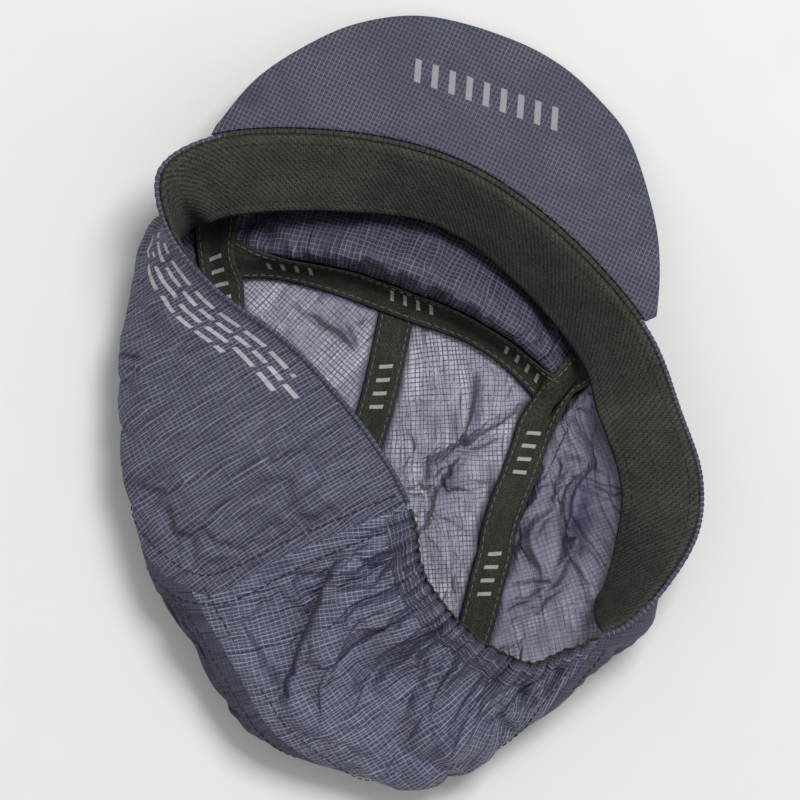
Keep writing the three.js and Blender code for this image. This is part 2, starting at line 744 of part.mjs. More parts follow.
// The cap is turned about Z, then its box is centred on the origin with its underside at z = 0
cap.rotation.z = PLAN_TURN
const placed = new THREE.Group()
placed.add(cap)
placed.updateMatrixWorld(true)
const box = new THREE.Box3().setFromObject(placed, true)
placed.position.set(-(box.min.x + box.max.x) / 2, -(box.min.y + box.max.y) / 2, -box.min.z)

export default placed
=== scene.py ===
# %% [markdown]
# # A cycling cap laid upside down on its crown
# The cap is sewn from thin slate-blue ripstop, a plain weave with a grid of thicker yarns.
# A knitted sweatband lines the rim, dark tapes cover the seams, and the rear is gathered on
# elastic. This notebook dresses the plain solids of the model. They give the measures, and
# each soft piece is built again here with its folds, stitches and weave.

# %% Load the frame
import math

import bpy
import numpy as np
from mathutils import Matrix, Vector, kdtree


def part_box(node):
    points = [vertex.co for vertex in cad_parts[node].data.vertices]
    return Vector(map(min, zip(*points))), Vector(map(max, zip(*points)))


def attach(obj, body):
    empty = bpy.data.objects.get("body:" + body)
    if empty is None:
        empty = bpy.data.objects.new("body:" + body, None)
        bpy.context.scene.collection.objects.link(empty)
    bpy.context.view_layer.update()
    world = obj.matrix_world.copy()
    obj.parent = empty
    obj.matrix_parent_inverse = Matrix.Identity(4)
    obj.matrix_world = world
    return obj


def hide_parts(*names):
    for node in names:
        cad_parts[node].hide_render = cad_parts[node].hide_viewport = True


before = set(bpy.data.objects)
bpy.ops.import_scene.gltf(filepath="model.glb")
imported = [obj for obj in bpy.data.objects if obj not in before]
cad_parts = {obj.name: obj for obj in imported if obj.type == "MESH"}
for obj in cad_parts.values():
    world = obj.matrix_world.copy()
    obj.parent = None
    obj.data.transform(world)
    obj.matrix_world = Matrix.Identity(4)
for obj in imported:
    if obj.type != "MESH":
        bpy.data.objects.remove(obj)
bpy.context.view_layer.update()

# %% [markdown]
# ## The wall of the crown
# All the cloth of the crown is one surface that was cut into panels. It is easiest to describe
# as a net: at stations round the head a profile runs from the rim over a shoulder and the belly
# to the ground and on to the crown's centre. The table is in millimetres and in plan, x to the
# right and y up as seen from straight above. A place on the surface is written as in a disc,
# side and front from -1 to 1, with the rim as its edge. Folds, seams and tapes can then be
# drawn flat and still land on the curved cloth.

# %% Stations round the head
PIXEL = 0.335
FLOOR = 0.5
CROWN_CENTRE = np.array([-17.0, -31.0, FLOOR])
PLAN_TURN = math.radians(-156.4)
HEM_RADIUS = 1.3
BAND_WIDTH = 28
WALL_DEPTH = 150

# turn, rim x y z, shoulder x y z, belly x y z, foot's way in, ridge share and z, band edge x y
stations = np.array([
    [0, 19.8, 79.2, 30, 13.1, 62.2, 8.8, 16.4, 69.6, 4.5, 8, 0.235, 18, 12.4, 60.3],
    [22.5, -21.7, 89, 31, -22.3, 66, 15.5, -22.5, 76, 6.5, 8, 0.195, 17, -22.4, 64.3],
    [45, -64.9, 86.8, 33, -59.8, 63.6, 19.5, -62, 72, 9, 8, 0.165, 8, -58.6, 62],
    [58, -80.2, 76.2, 37, -69, 60.6, 17.5, -76, 65, 11, 9, 0.2, 1, -67, 59],
    [70, -77.6, 56.8, 41, -82, 56, 26, -85, 56, 17, 12, 0.25, 0.5, -74, 55.6],
    [85, -61.5, 36.8, 46, -82, 29, 31, -92.5, 24, 18, 16, 0.3, 0.5, -81.3, 28.6],
    [105, -36, 17.7, 50, -60.6, 12.4, 41, -94.9, 5, 20, 18, 0.3, 0.5, -60.6, 12.4],
    [130, -11.1, -10.8, 52, -36.6, -17, 46, -91.2, -30.3, 20, 18, 0.3, 0.5, -36.6, -17],
    [157.5, 2.9, -35, 51, -22.4, -43.9, 45, -81.4, -64.6, 18, 16, 0.3, 0.5, -22.4, -43.9],
    [168, 6.6, -56.4, 49, -15.3, -70.9, 43, -59.9, -100.3, 16, 14, 0.3, 0.5, -15.3, -70.9],
    [174, 13.4, -68.3, 47, -8.8, -84, 40, -50, -113, 15.5, 14, 0.3, 0.5, -8.8, -84],
    [180, 22.4, -77.6, 45, 4.5, -95.7, 37, -23.6, -123.9, 15, 13, 0.3, 0.5, 4.5, -95.7],
    [191, 43, -88.3, 40, 27, -108, 33, 8.4, -130.5, 14, 12, 0.3, 0.5, 27, -108],
    [202.5, 67.4, -79, 35, 57, -94, 27, 49.6, -104.5, 15, 12, 0.3, 0.5, 64.3, -74.4],
    [212, 75.7, -75.7, 33, 73, -83, 27, 67, -88.4, 16, 12, 0.3, 0.5, 67, -68.7],
    [225, 85.4, -66.7, 31, 86, -71, 25, 84, -72.7, 14, 12, 0.3, 0.5, 70, -64],
    [245, 99.2, -45.1, 27, 76, -39.5, 12, 65, -36, 6, 10, 0.3, 0.5, 75, -38.5],
    [265, 100.8, -26.1, 25, 75, -26, 13, 63, -24, 6, 10, 0.3, 0.5, 74.4, -26.1],
    [288, 93.8, -4, 25, 68, -4, 14, 57, -6, 6, 8, 0.12, 0.5, 67, -4],
    [315, 83, 22.8, 26, 64.8, 12.6, 8.3, 66, 13.5, 4, 6, 0.1, 6, 63.3, 11.4],
    [337.5, 53.4, 56.5, 28, 40, 43.6, 7.5, 46, 48.3, 4, 8, 0.185, 17, 38.5, 42.2],
])
print("stations:", len(stations))


# %% A smooth curve through points
def run_along(points):
    """How far each point of a line is from its start."""
    return np.append(0, np.cumsum(np.linalg.norm(np.diff(points, axis=0), axis=1)))


def smooth_curve(points, closed, shares):
    """Points at shares of a centripetal Catmull-Rom curve."""
    points = np.asarray(points, float)
    spans = len(points) if closed else len(points) - 1
    if closed:
        padded = np.vstack([points[-1:], points, points[:2]])
        s = np.mod(shares, 1) * spans
    else:
        padded = np.vstack([2 * points[0] - points[1], points, 2 * points[-1] - points[-2]])
        s = np.clip(shares, 0, 1) * spans
    i = np.minimum(np.floor(s).astype(int), spans - 1)
    w = (s - i)[:, None]
    a, b, c, d = (padded[i + k] for k in range(4))
    pairs = ((a, b), (b, c), (c, d))
    before, here, after = (np.sqrt(np.linalg.norm(q - p, axis=1))[:, None] for p, q in pairs)
    here = np.where(here < 1e-4, 1, here)
    before = np.where(before < 1e-4, here, before)
    after = np.where(after < 1e-4, here, after)
    out = ((b - a) / before - (c - a) / (before + here) + (c - b) / here) * here
    into = ((c - b) / here - (d - b) / (here + after) + (d - c) / after) * here
    return b + out * w + (3 * (c - b) - 2 * out - into) * w**2 + (2 * (b - c) + out + into) * w**3


def ring_share(turn):
    """The ring curves' parameter at a turn in degrees."""
    turns = np.append(stations[:, 0], 360)
    return np.interp(np.mod(turn, 360), turns, np.arange(len(turns)) / len(stations))


# %% The net of the wall
NET_TURNS = 480
NET_ROWS = 160

rim = stations[:, 1:4]
belly = stations[:, 7:10]
below_belly = np.column_stack([belly[:, :2], np.full(len(belly), FLOOR)])
inward = CROWN_CENTRE - below_belly
foot = below_belly + inward / np.linalg.norm(inward, axis=1)[:, None] * stations[:, 10:11]


def ground_ring(share, height):
    ring = foot + (CROWN_CENTRE - foot) * np.reshape(share, (-1, 1))
    ring[:, 2] = np.maximum(height, FLOOR)
    return ring


rings = [
    rim,
    stations[:, 4:7],
    belly,
    foot,
    ground_ring(stations[:, 11], stations[:, 12]),
    ground_ring(stations[:, 11] + 0.07, stations[:, 12] * 0.15),
    ground_ring(np.full(len(stations), 0.6), FLOOR),
]
net_shares = ring_share(np.arange(NET_TURNS) * 360 / NET_TURNS)
knots = np.stack([smooth_curve(ring, True, net_shares) for ring in rings], 1)
net = np.empty((NET_TURNS, NET_ROWS + 1, 3))
profile_lengths = np.empty(NET_TURNS)
fine = np.linspace(0, 1, 201)
for k in range(NET_TURNS):
    profile = np.vstack([knots[k], CROWN_CENTRE])
    run = run_along(smooth_curve(profile, False, fine))
    net[k] = smooth_curve(profile, False, np.interp(np.linspace(0, run[-1], NET_ROWS + 1), run, fine))
    profile_lengths[k] = run[-1]
net[..., 2] = np.maximum(net[..., 2], FLOOR)
print("profiles are", round(profile_lengths.min()), "to", round(profile_lengths.max()), "mm long")


# %% Read the wall at places of the disc
def wall(places):
    """Points of the wall in millimetres."""
    side, front = places[..., 0], places[..., 1]
    turns = np.mod(np.arctan2(side, front), 2 * math.pi) * NET_TURNS / (2 * math.pi)
    i = np.floor(turns).astype(int) % NET_TURNS
    row = (1 - np.minimum(np.hypot(side, front), 1)) * NET_ROWS
    j = np.minimum(np.floor(row).astype(int), NET_ROWS - 1)
    s = (turns - np.floor(turns))[..., None]
    t = (row - j)[..., None]
    here = net[i, j] * (1 - t) + net[i, j + 1] * t
    following = net[(i + 1) % NET_TURNS, j] * (1 - t) + net[(i + 1) % NET_TURNS, j + 1] * t
    return here * (1 - s) + following * s


def unit(vectors):
    return vectors / np.maximum(np.linalg.norm(vectors, axis=-1, keepdims=True), 1e-9)


def slopes(places, step=0.012):
    """How the wall's point changes along side and front."""
    rho = np.linalg.norm(places, axis=-1, keepdims=True)
    inside = places * np.minimum(1, (1 - step) / np.maximum(rho, 1e-9))
    across = (wall(inside + [step, 0]) - wall(inside - [step, 0])) / (2 * step)
    ahead = (wall(inside + [0, step]) - wall(inside - [0, step])) / (2 * step)
    return across, ahead


def into_hollow(places):
    """The wall's normals, which point to where the head goes."""
    across, ahead = slopes(places)
    return unit(np.cross(ahead, across))


def place_at(turn, depth):
    """The place at a turn in degrees and a depth in millimetres below the rim."""
    angle = np.radians(turn)
    length = profile_lengths[np.round(np.mod(turn, 360) * NET_TURNS / 360).astype(int) % NET_TURNS]
    rho = 1 - depth / length
    return np.stack(np.broadcast_arrays(np.sin(angle) * rho, np.cos(angle) * rho), -1)


def moved_along(places, moves):
    """The places reached from others by short moves in millimetres over the wall."""
    across, ahead = slopes(places, 0.006)
    aa, ab, bb = ((p * q).sum(-1) for p, q in ((across, across), (across, ahead), (ahead, ahead)))
    am, bm = ((p * moves).sum(-1) for p in (across, ahead))
    share = aa * bb - ab * ab
    return places + np.stack([(bb * am - ab * bm) / share, (aa * bm - ab * am) / share], -1)


# %% [markdown]
# ## Where the cap stands
# The table is in plan, but the model is turned so that its peak points to -Y and its box is
# centred on the origin. The turn is known. The shift is read from the model: the rim's roll is
# worked out here in plan, and its box has to land on the box of the solid.

# %% Move plan points into the model's frame
HEM_ENDS = (203.1, 516.9)


def rim_frame(turn):
    """The rim's points, tangents and level outward directions at turns in degrees."""
    share = ring_share(np.asarray(turn, float))
    tangent = unit(smooth_curve(rim, True, share + 1e-4) - smooth_curve(rim, True, share - 1e-4))
    outward = unit(np.stack([tangent[:, 1], -tangent[:, 0], np.zeros(len(tangent))], -1))
    return smooth_curve(rim, True, share), tangent, outward


def turned(points):
    c, s = math.cos(PLAN_TURN), math.sin(PLAN_TURN)
    return np.stack([
        c * points[..., 0] - s * points[..., 1],
        s * points[..., 0] + c * points[..., 1],
        points[..., 2],
    ], -1)


hem_turns = HEM_ENDS[0] + (HEM_ENDS[1] - HEM_ENDS[0]) * np.arange(73) / 72
hem_point, hem_tangent, hem_outward = rim_frame(hem_turns)
hem_up = unit(np.cross(hem_outward, hem_tangent))
hem_loops = np.concatenate([
    hem_point + HEM_RADIUS * (math.cos(a) * hem_outward + math.sin(a) * hem_up)
    for a in np.arange(6) * math.pi / 3
])
low, high = (1000 * np.array(corner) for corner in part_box("rim_hem"))
hem_box = turned(hem_loops)
SHIFT = (low + high) / 2 - (hem_box.min(0) + hem_box.max(0)) / 2
print("shift in mm:", SHIFT.round(3), "size off by", (high - low - np.ptp(hem_box, axis=0)).round(3))


def in_model(points):
    """Plan points in millimetres to the model's frame in metres."""
    return (turned(np.asarray(points)) + SHIFT) * 0.001


# %% [markdown]
# ## Folds and wrinkles
# Ripstop is thin and crisp. It keeps every crease, so long folds run from the gathers, and the
# whole cloth is rumpled. The long folds are drawn as lines over the disc, each with a width and
# a height. The gathers are waves across the rear rim that fade down the cloth. The rumple comes
# from gradient noise, drawn out along the way the cloth pulls.

# %% Noise that is the same on each run
dice = np.random.RandomState(7)
lattice_order = np.tile(dice.permutation(256), 2)
lattice_slopes = unit(dice.normal(size=(256, 2)))


def noise(x, y):
    """Gradient noise from about -0.7 to 0.7 with features one unit wide."""
    i, j = np.floor(x).astype(int), np.floor(y).astype(int)
    u, v = x - i, y - j
    total = 0
    for a in (0, 1):
        for b in (0, 1):
            slope = lattice_slopes[lattice_order[lattice_order[(i + a) % 256] + (j + b) % 256]]
            near = (1 - abs(u - a)) ** 2 * (1 + 2 * abs(u - a))
            near = near * (1 - abs(v - b)) ** 2 * (1 + 2 * abs(v - b))
            total = total + near * (slope[..., 0] * (u - a) + slope[..., 1] * (v - b))
    return total


def creases(x, y):
    """Noise folded at zero, which leaves sharp ridges."""
    return 0.35 - abs(noise(x, y)) * 1.6


# %% Long folds
# points as side front pairs, width, height in mm; a positive height rises into the hollow
long_folds = [
    ([(0.3, -0.82), (0.09, -0.6)], 0.03, 3),
    ([(0.2, -0.88), (0.0, -0.62)], 0.03, -2),
    ([(0.03, -0.93), (-0.06, -0.68)], 0.03, 2),
    ([(-0.12, -0.93), (-0.14, -0.7)], 0.03, -2),
    ([(-0.52, -0.08), (-0.34, -0.42)], 0.03, 3),
    ([(-0.66, -0.05), (-0.46, -0.48)], 0.03, 3.5),
    ([(-0.3, 0.3), (-0.2, -0.1)], 0.03, 2.5),
    ([(-0.34, 0.14), (-0.29, 0.02), (-0.2, -0.13), (-0.1, -0.19)], 0.022, 2.6),
    ([(-0.2, 0.38), (-0.25, 0.24), (-0.33, 0.15)], 0.02, 1.8),
    ([(-0.08, 0.33), (-0.13, 0.26), (-0.1, 0.18)], 0.02, 1.5),
    ([(-0.72, 0.14), (-0.71, 0.0), (-0.59, -0.29), (-0.48, -0.37), (-0.31, -0.43), (-0.2, -0.415)], 0.022, 3),
    ([(-0.62, 0.1), (-0.61, -0.02), (-0.5, -0.25), (-0.37, -0.3)], 0.022, 2.4),
    ([(-0.55, 0.02), (-0.5, -0.1), (-0.42, -0.22)], 0.018, 2),
    ([(-0.28, -0.37), (-0.38, -0.39), (-0.51, -0.36)], 0.02, 2),
    ([(0.21, 0.32), (0.12, 0.3), (0.06, 0.26)], 0.02, 1.8),
    ([(0.31, -0.81), (0.26, -0.77), (0.2, -0.72), (0.13, -0.66), (0.04, -0.56)], 0.016, 3.2),
    ([(0.065, -0.93), (0.054, -0.82), (0.01, -0.65)], 0.022, 1.8),
    ([(-0.03, -0.93), (-0.05, -0.82), (-0.06, -0.67)], 0.02, 2),
    ([(-0.1, -0.93), (-0.1, -0.8)], 0.014, 1.6),
    ([(-0.21, -0.92), (-0.26, -0.79)], 0.016, 1.8),
    ([(-0.19, -0.86), (-0.24, -0.68)], 0.016, 1.5),
    ([(0.28, -0.93), (0.225, -0.87), (0.23, -0.78)], 0.014, 1.6),
    ([(0.82, -0.57), (0.72, -0.54), (0.5, -0.515), (0.33, -0.46)], 0.035, -1.5),
    ([(0.545, -0.8), (0.45, -0.73), (0.34, -0.65)], 0.03, -1.6),
    ([(0.8, -0.36), (0.64, -0.37), (0.47, -0.37)], 0.03, -1.1),
]


def long_fold_height(places):
    height = np.zeros(places.shape[:-1])
    for points, width, rise in long_folds:
        points = np.array(points, float)
        runs = np.linalg.norm(np.diff(points, axis=0), axis=1)
        starts = np.append(0, np.cumsum(runs)) / runs.sum()
        nearest = np.full(height.shape, 1e9)
        share = np.zeros(height.shape)
        steep = np.zeros(height.shape, bool)
        for k, run in enumerate(np.diff(points, axis=0)):
            from_start = places - points[k]
            along = np.clip((from_start @ run) / (run @ run), 0, 1)
            away = np.linalg.norm(from_start - along[..., None] * run, axis=-1)
            closer = away < nearest
            nearest = np.where(closer, away, nearest)
            share = np.where(closer, starts[k] + along * (starts[k + 1] - starts[k]), share)
            steep = np.where(closer, run[0] * from_start[..., 1] > run[1] * from_start[..., 0], steep)
        taper = np.sin(math.pi * np.clip(share, 0.06, 0.94)) ** 0.7
        height += rise * taper * np.exp(-((nearest / (width * np.where(steep, 0.75, 2.2))) ** 1.3))
    return height


# %% Gathers and rumples
def turn_and_depth(places):
    """Turns in degrees from 0 to 360, and rough depths in millimetres below the rim."""
    turn = np.degrees(np.arctan2(places[..., 0], places[..., 1])) % 360
    return turn, (1 - np.linalg.norm(places, axis=-1)) * WALL_DEPTH


def pillows(turn, pitch=1.7):
    """Puckers round the rear, from 0 in the sharp crease between two to 1 on top."""
    return abs(np.sin(math.pi * (turn / pitch + 0.8 * noise(turn / 2.4, turn * 0 + pitch))))


def gathers(places):
    """Puckers and waves that the elastic draws into the rear of the cloth, in millimetres."""
    turn, depth = turn_and_depth(places)
    near_rear = np.clip((25 - abs(turn - 180)) / 9, 0, 1)
    shifted = turn + 0.8 * noise(turn / 4, depth / 14)
    tight = 2.3 * (0.62 - pillows(shifted)) * np.exp(-depth / 11)
    wide = 3.4 * (0.62 - pillows(shifted, 4.1)) * np.exp(-(((depth - 14) / 18) ** 2))
    loose = 4.2 * noise(turn / 4.3 + 9, depth / 60) * np.exp(-(((depth - 26) / 26) ** 2))
    return near_rear * (tight + wide + loose)


def rumples(places):
    """Small creases over the whole cloth, in millimetres."""
    side, front = places[..., 0] * 100, places[..., 1] * 100
    turn = np.degrees(np.arctan2(places[..., 0], places[..., 1]))
    rho = np.linalg.norm(places, axis=-1)
    outer = np.clip((rho - 0.55) / 0.15, 0, 1)
    floor_part = 1.1 * creases(side / 16, front / 24 + 5) + 0.6 * creases(side / 8 + 3, front / 9)
    wall_part = 1.0 * noise(turn / 12, rho * 11) + 0.6 * creases(turn / 7 + 2, rho * 15)
    return floor_part * (1 - outer) + wall_part * outer + 0.25 * creases(side / 4.5, front / 5.5)


def held_by_band(places):
    """From 0 at the rim to 1 below the sweatband, and 1 all the way up at the gathered rear."""
    turn, depth = turn_and_depth(places)
    rear = np.clip((30 - abs(turn - 180)) / 9, 0, 1)
    return np.maximum(np.clip((depth - 3) / 24, 0.1, 1), rear)


# %% [markdown]
# ## Seams and panels
# Six panels are sewn together along curved seams. Each seam is a smooth line over the disc.
# Four lines frame a panel, and a Coons patch fills the frame with rows and columns that follow
# its edges, as the weave of a cut panel does roughly.

# %% Seam lines
PANEL_TOP = 0.6
FRONT_RIGHT, REAR_RIGHT, REAR_LEFT, FRONT_LEFT = 45, 157.5, 202.5, 315

right_seam = [
    (0.56, 0.57), (0.47, 0.35), (0.42, 0.12), (0.38, -0.1), (0.3, -0.32), (0.2, -0.5), (0.28, -0.7),
]
left_seam = [
    (-0.57, 0.57), (-0.5, 0.38), (-0.51, 0.14), (-0.43, -0.12), (-0.27, -0.3), (-0.12, -0.5),
    (-0.27, -0.7),
]
cross_seam = [(-0.5, 0.38), (-0.26, 0.43), (0.03, 0.42), (0.28, 0.4), (0.47, 0.35)]
rear_seam = [(0.2, -0.5), (0.12, -0.56), (0.03, -0.58), (-0.05, -0.56), (-0.12, -0.5)]
centre_seam = [(0.03, 0.42), (0.0, 0.12), (0.02, -0.25), (0.03, -0.58)]


def spline(points, shares):
    """Points at shares of an even Catmull-Rom curve."""
    points = np.asarray(points, float)
    padded = np.vstack([points[:1], points, points[-1:]])
    s = np.clip(shares, 0, 1) * (len(points) - 1)
    i = np.minimum(np.floor(s).astype(int), len(points) - 2)
    w = (s - i)[:, None]
    a, b, c, d = (padded[i + k] for k in range(4))
    out, into = (c - a) / 2, (d - b) / 2
    return b + out * w + (3 * (c - b) - 2 * out - into) * w**2 + (2 * (b - c) + out + into) * w**3


class Path:
    """A line over the wall that is read by shares of its real length."""

    def __init__(self, place_of, steps=160):
        self.places = place_of(np.linspace(0, 1, steps + 1))
        self.run = run_along(wall(self.places))
        self.length = self.run[-1]

    def at(self, shares):
        wanted = np.clip(shares, 0, 1) * self.length
        return np.stack([np.interp(wanted, self.run, self.places[:, k]) for k in (0, 1)], -1)

    def backwards(self):
        return Path(lambda shares: self.at(1 - shares))


def seam_paths(points, nodes):
    """The stretches of a seam between its nodes, the numbers of the points where seams meet."""
    last = len(points) - 1
    return [
        Path(lambda shares, a=a, b=b: spline(points, (a + (b - a) * shares) / last))
        for a, b in zip(nodes, nodes[1:])
    ]


def rim_path(start, end):
    return Path(lambda shares: place_at(start + (end - start) * shares, PANEL_TOP))


def end_to_end(*paths):
    total = sum(path.length for path in paths)
    ends = np.cumsum([0] + [path.length / total for path in paths])

    def place_of(shares):
        index = np.clip(np.searchsorted(ends, shares, side="right") - 1, 0, len(paths) - 1)
        pieces = np.zeros((len(shares), 2))
        for k, path in enumerate(paths):
            mine = index == k
            pieces[mine] = path.at((shares[mine] - ends[k]) / (ends[k + 1] - ends[k]))
        return pieces

    return Path(place_of, 480), ends


def side_seam_paths(points, front_turn, rear_turn):
    """A side seam starts and ends at the rim."""
    ends = [tuple(place_at(turn, PANEL_TOP)) for turn in (front_turn, rear_turn)]
    return seam_paths([ends[0], *points, ends[1]], [0, 2, 6, 8])


right_front, right_top, right_rear = side_seam_paths(right_seam, FRONT_RIGHT, REAR_RIGHT)
left_front, left_top, left_rear = side_seam_paths(left_seam, FRONT_LEFT, REAR_LEFT)
cross_left, cross_right = seam_paths(cross_seam, [0, 2, 4])
rear_right, rear_left = seam_paths(rear_seam, [0, 2, 4])
centre = seam_paths(centre_seam, [0, 3])[0]
cross_whole, cross_ends = end_to_end(cross_left, cross_right)
rear_whole, rear_ends = end_to_end(rear_right, rear_left)
print("seams in mm:", round(cross_whole.length), round(rear_whole.length), round(right_top.length))


# %% Distances to the seams
seam_lines = {
    "right": end_to_end(right_front, right_top, right_rear)[0],
    "left": end_to_end(left_front, left_top, left_rear)[0],
    "cross": cross_whole,
    "rear": rear_whole,
    "centre": centre,
}
seam_points = np.concatenate([wall(path.at(np.linspace(0, 1, 300))) for path in seam_lines.values()])
seam_tree = kdtree.KDTree(len(seam_points))
for k, point in enumerate(seam_points):
    seam_tree.insert(point, k)
seam_tree.balance()


def seam_distance(places):
    points = wall(places)
    distances = np.array([seam_tree.find(point)[2] for point in points.reshape(-1, 3)])
    return distances.reshape(points.shape[:-1])


# %% The folded cloth
FOLD_SIZE = 1.6
SEAM_ALLOWANCE = 6.2
LOWEST = 0.3


def cloth(places, lift=0):
    """Points of the folded cloth, lifted by millimetres towards the hollow."""
    away = seam_distance(places)
    sewn = 0.25 + 0.75 * np.clip((away - 4) / 8, 0, 1)
    folds = (FOLD_SIZE * long_fold_height(places) + rumples(places)) * held_by_band(places) * sewn
    folds = folds + gathers(places)
    seam = 0.3 * np.exp(-((away / 0.8) ** 2)) - 0.3 * np.clip((SEAM_ALLOWANCE - away) / 0.7, 0, 1)
    points = wall(places) + into_hollow(places) * (folds + seam + lift)[..., None]
    points[..., 2] = np.maximum(points[..., 2], LOWEST + np.maximum(lift, 0))
    return points


# %% Panels as grids over the disc
DOWN_STEPS = 72
HALF_STEPS = 66
REAR_STEPS = 132
LONG_STEPS = 132


def patch(top, bottom, start, end, columns, rows):
    """Places of a panel between four paths that meet at its corners."""
    u = columns[None, :, None]
    v = rows[:, None, None]
    a, b = top.at(columns)[None], bottom.at(columns)[None]
    c, d = start.at(rows)[:, None], end.at(rows)[:, None]
    sides = a * (1 - v) + b * v + c * (1 - u) + d * u
    near = a[:, :1] * (1 - u) * (1 - v) + a[:, -1:] * u * (1 - v)
    corners = near + b[:, :1] * (1 - u) * v + b[:, -1:] * u * v
    return sides - corners


def split_columns(share, steps):
    return np.append(np.linspace(0, share, steps + 1), np.linspace(share, 1, steps + 1)[1:])


down = np.linspace(0, 1, DOWN_STEPS + 1)
long = np.linspace(0, 1, LONG_STEPS + 1)
half = np.linspace(0, 1, HALF_STEPS + 1)
panel_places = {
    "front_panel": patch(
        rim_path(FRONT_LEFT - 360, FRONT_RIGHT), cross_whole, left_front, right_front,
        split_columns(cross_ends[1], HALF_STEPS), down,
    ),
    "right_side_panel": patch(
        rim_path(FRONT_RIGHT, REAR_RIGHT), right_top, right_front, right_rear.backwards(), long, down
    ),
    "rear_panel": patch(
        rim_path(REAR_RIGHT, REAR_LEFT), rear_whole, right_rear.backwards(), left_rear.backwards(),
        split_columns(rear_ends[1], REAR_STEPS), down,
    ),
    "left_side_panel": patch(
        rim_path(REAR_LEFT, FRONT_LEFT), left_top.backwards(), left_rear.backwards(), left_front,
        long, down,
    ),
    "right_top_panel": patch(cross_right.backwards(), rear_right, right_top, centre, half, long),
    "left_top_panel": patch(cross_left.backwards(), rear_left, centre, left_top, half, long),
}
print("grid points:", sum(places.shape[0] * places.shape[1] for places in panel_places.values()))


# %% Meshes from grids
def grid_faces(rows, columns):
    """Quads between the points of a grid."""
    j, i = np.meshgrid(np.arange(rows - 1), np.arange(columns - 1), indexing="ij")
    first = (j * columns + i).ravel()
    return np.stack([first, first + 1, first + columns + 1, first + columns], -1)


def sleeve_faces(loops, count, outside_in=False):
    """Quads between loops of so many points, and a face at each end."""
    j, i = np.divmod(np.arange((loops - 1) * count), count)
    here, beside_it = j * count + i, j * count + (i + 1) % count
    corners = [here, here + count, beside_it + count, beside_it]
    first, last = list(range(count)), list(range((loops - 1) * count, loops * count))
    if outside_in:
        corners = [here, beside_it, beside_it + count, here + count]
        first, last = first[::-1], last[::-1]
    return [*np.stack(corners, -1).tolist(), first, last[::-1]]


def read_values(items, name, width, kind=float):
    """A row of numbers for each of a mesh's points, edges or corners."""
    values = np.empty(width * len(items), kind)
    items.foreach_get(name, values)
    return values.reshape(-1, width)


def vectors(*parts):
    """Grids of x, y and z, or of x and y alone, put together into a grid of vectors."""
    parts = [*parts, parts[0] * 0]
    return np.stack(parts[:3], -1)


def make_piece(name, points, faces, material, *nodes, slot=None):
    """A smooth mesh in the model's frame that stands for nodes of the model."""
    mesh = bpy.data.meshes.new(name)
    mesh.from_pydata(in_model(points).reshape(-1, 3).tolist(), [], faces)
    mesh.validate()
    mesh.shade_smooth()
    mesh.materials.append(material)
    piece = bpy.data.objects.new(name, mesh)
    bpy.context.scene.collection.objects.link(piece)
    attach(piece, "root")
    if nodes:
        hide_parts(*nodes)
    return piece


def keep_values(piece, name, values):
    """Stores a number or vector at each point, for the material to read."""
    values = np.asarray(values, float).reshape(len(piece.data.vertices), -1)
    kind = "FLOAT" if values.shape[1] == 1 else "FLOAT_VECTOR"
    layer = piece.data.attributes.new(name, kind, "POINT")
    layer.data.foreach_set("value" if kind == "FLOAT" else "vector", values.astype(np.float32).ravel())


# %% [markdown]
# ## Letting the cloth crease by itself
# The drawn folds give the large shape. The small buckles between the seams are better left to a
# cloth simulation: the seams and the rim are pinned, and the cloth between them grows by a few
# hundredths, so it has to buckle. The panels are simulated with every second row and ten times
# as large as they are, which suits the solver, and the movement is spread back over the fine
# panels. Only its small waves are used, and a limit keeps them low, so that the cloth stays
# where the solids are.

# %% Pin the shell and let it buckle
SIM_SCALE = 0.01
SIM_FRAMES = 24
CLOTH_GROWTH = 0.07
MOST_MOVE = 3.8

folded = {name: cloth(places) for name, places in panel_places.items()}


def coarse_shell():
    """Points and faces of all panels with every second row and column."""
    points, faces, start = [], [], 0
    for grid in folded.values():
        coarse = grid[::2, ::2]
        rows, columns = coarse.shape[:2]
        points.append(coarse.reshape(-1, 3))
        faces.append(grid_faces(rows, columns) + start)
        start += rows * columns
    return np.concatenate(points), np.concatenate(faces)


def buckled(points, faces, pins):
    """Where a cloth simulation takes the points of the shell."""
    mesh = bpy.data.meshes.new("shell")
    mesh.from_pydata((points * SIM_SCALE).tolist(), [], faces.tolist())
    shell = bpy.data.objects.new("shell", mesh)
    bpy.context.scene.collection.objects.link(shell)
    group = shell.vertex_groups.new(name="pins")
    for k, weight in enumerate(pins):
        if weight > 0:
            group.add([k], weight, "REPLACE")
    modifier = shell.modifiers.new("cloth", "CLOTH")
    for setting, value in {
        "quality": 5, "mass": 0.15, "tension_stiffness": 20, "compression_stiffness": 20,
        "shear_stiffness": 6, "bending_stiffness": 0.08, "air_damping": 1.5,
        "shrink_min": -CLOTH_GROWTH, "vertex_group_mass": "pins",
    }.items():
        setattr(modifier.settings, setting, value)
    modifier.settings.effector_weights.gravity = 0
    modifier.collision_settings.use_collision = False
    modifier.point_cache.frame_end = SIM_FRAMES
    for frame_number in range(1, SIM_FRAMES + 1):
        bpy.context.scene.frame_set(frame_number)
    moved = shell.evaluated_get(bpy.context.evaluated_depsgraph_get()).to_mesh()
    result = read_values(moved.vertices, "co", 3)
    bpy.context.scene.frame_set(1)
    bpy.data.objects.remove(shell)
    return result / SIM_SCALE


def smoothed(values, rounds=2):
    """Evens out a grid along its rows."""
    for step in range(rounds):
        middle = (values[:-2] + 2 * values[1:-1] + values[2:]) / 4
        values = np.concatenate([values[:1], middle, values[-1:]])
    return values


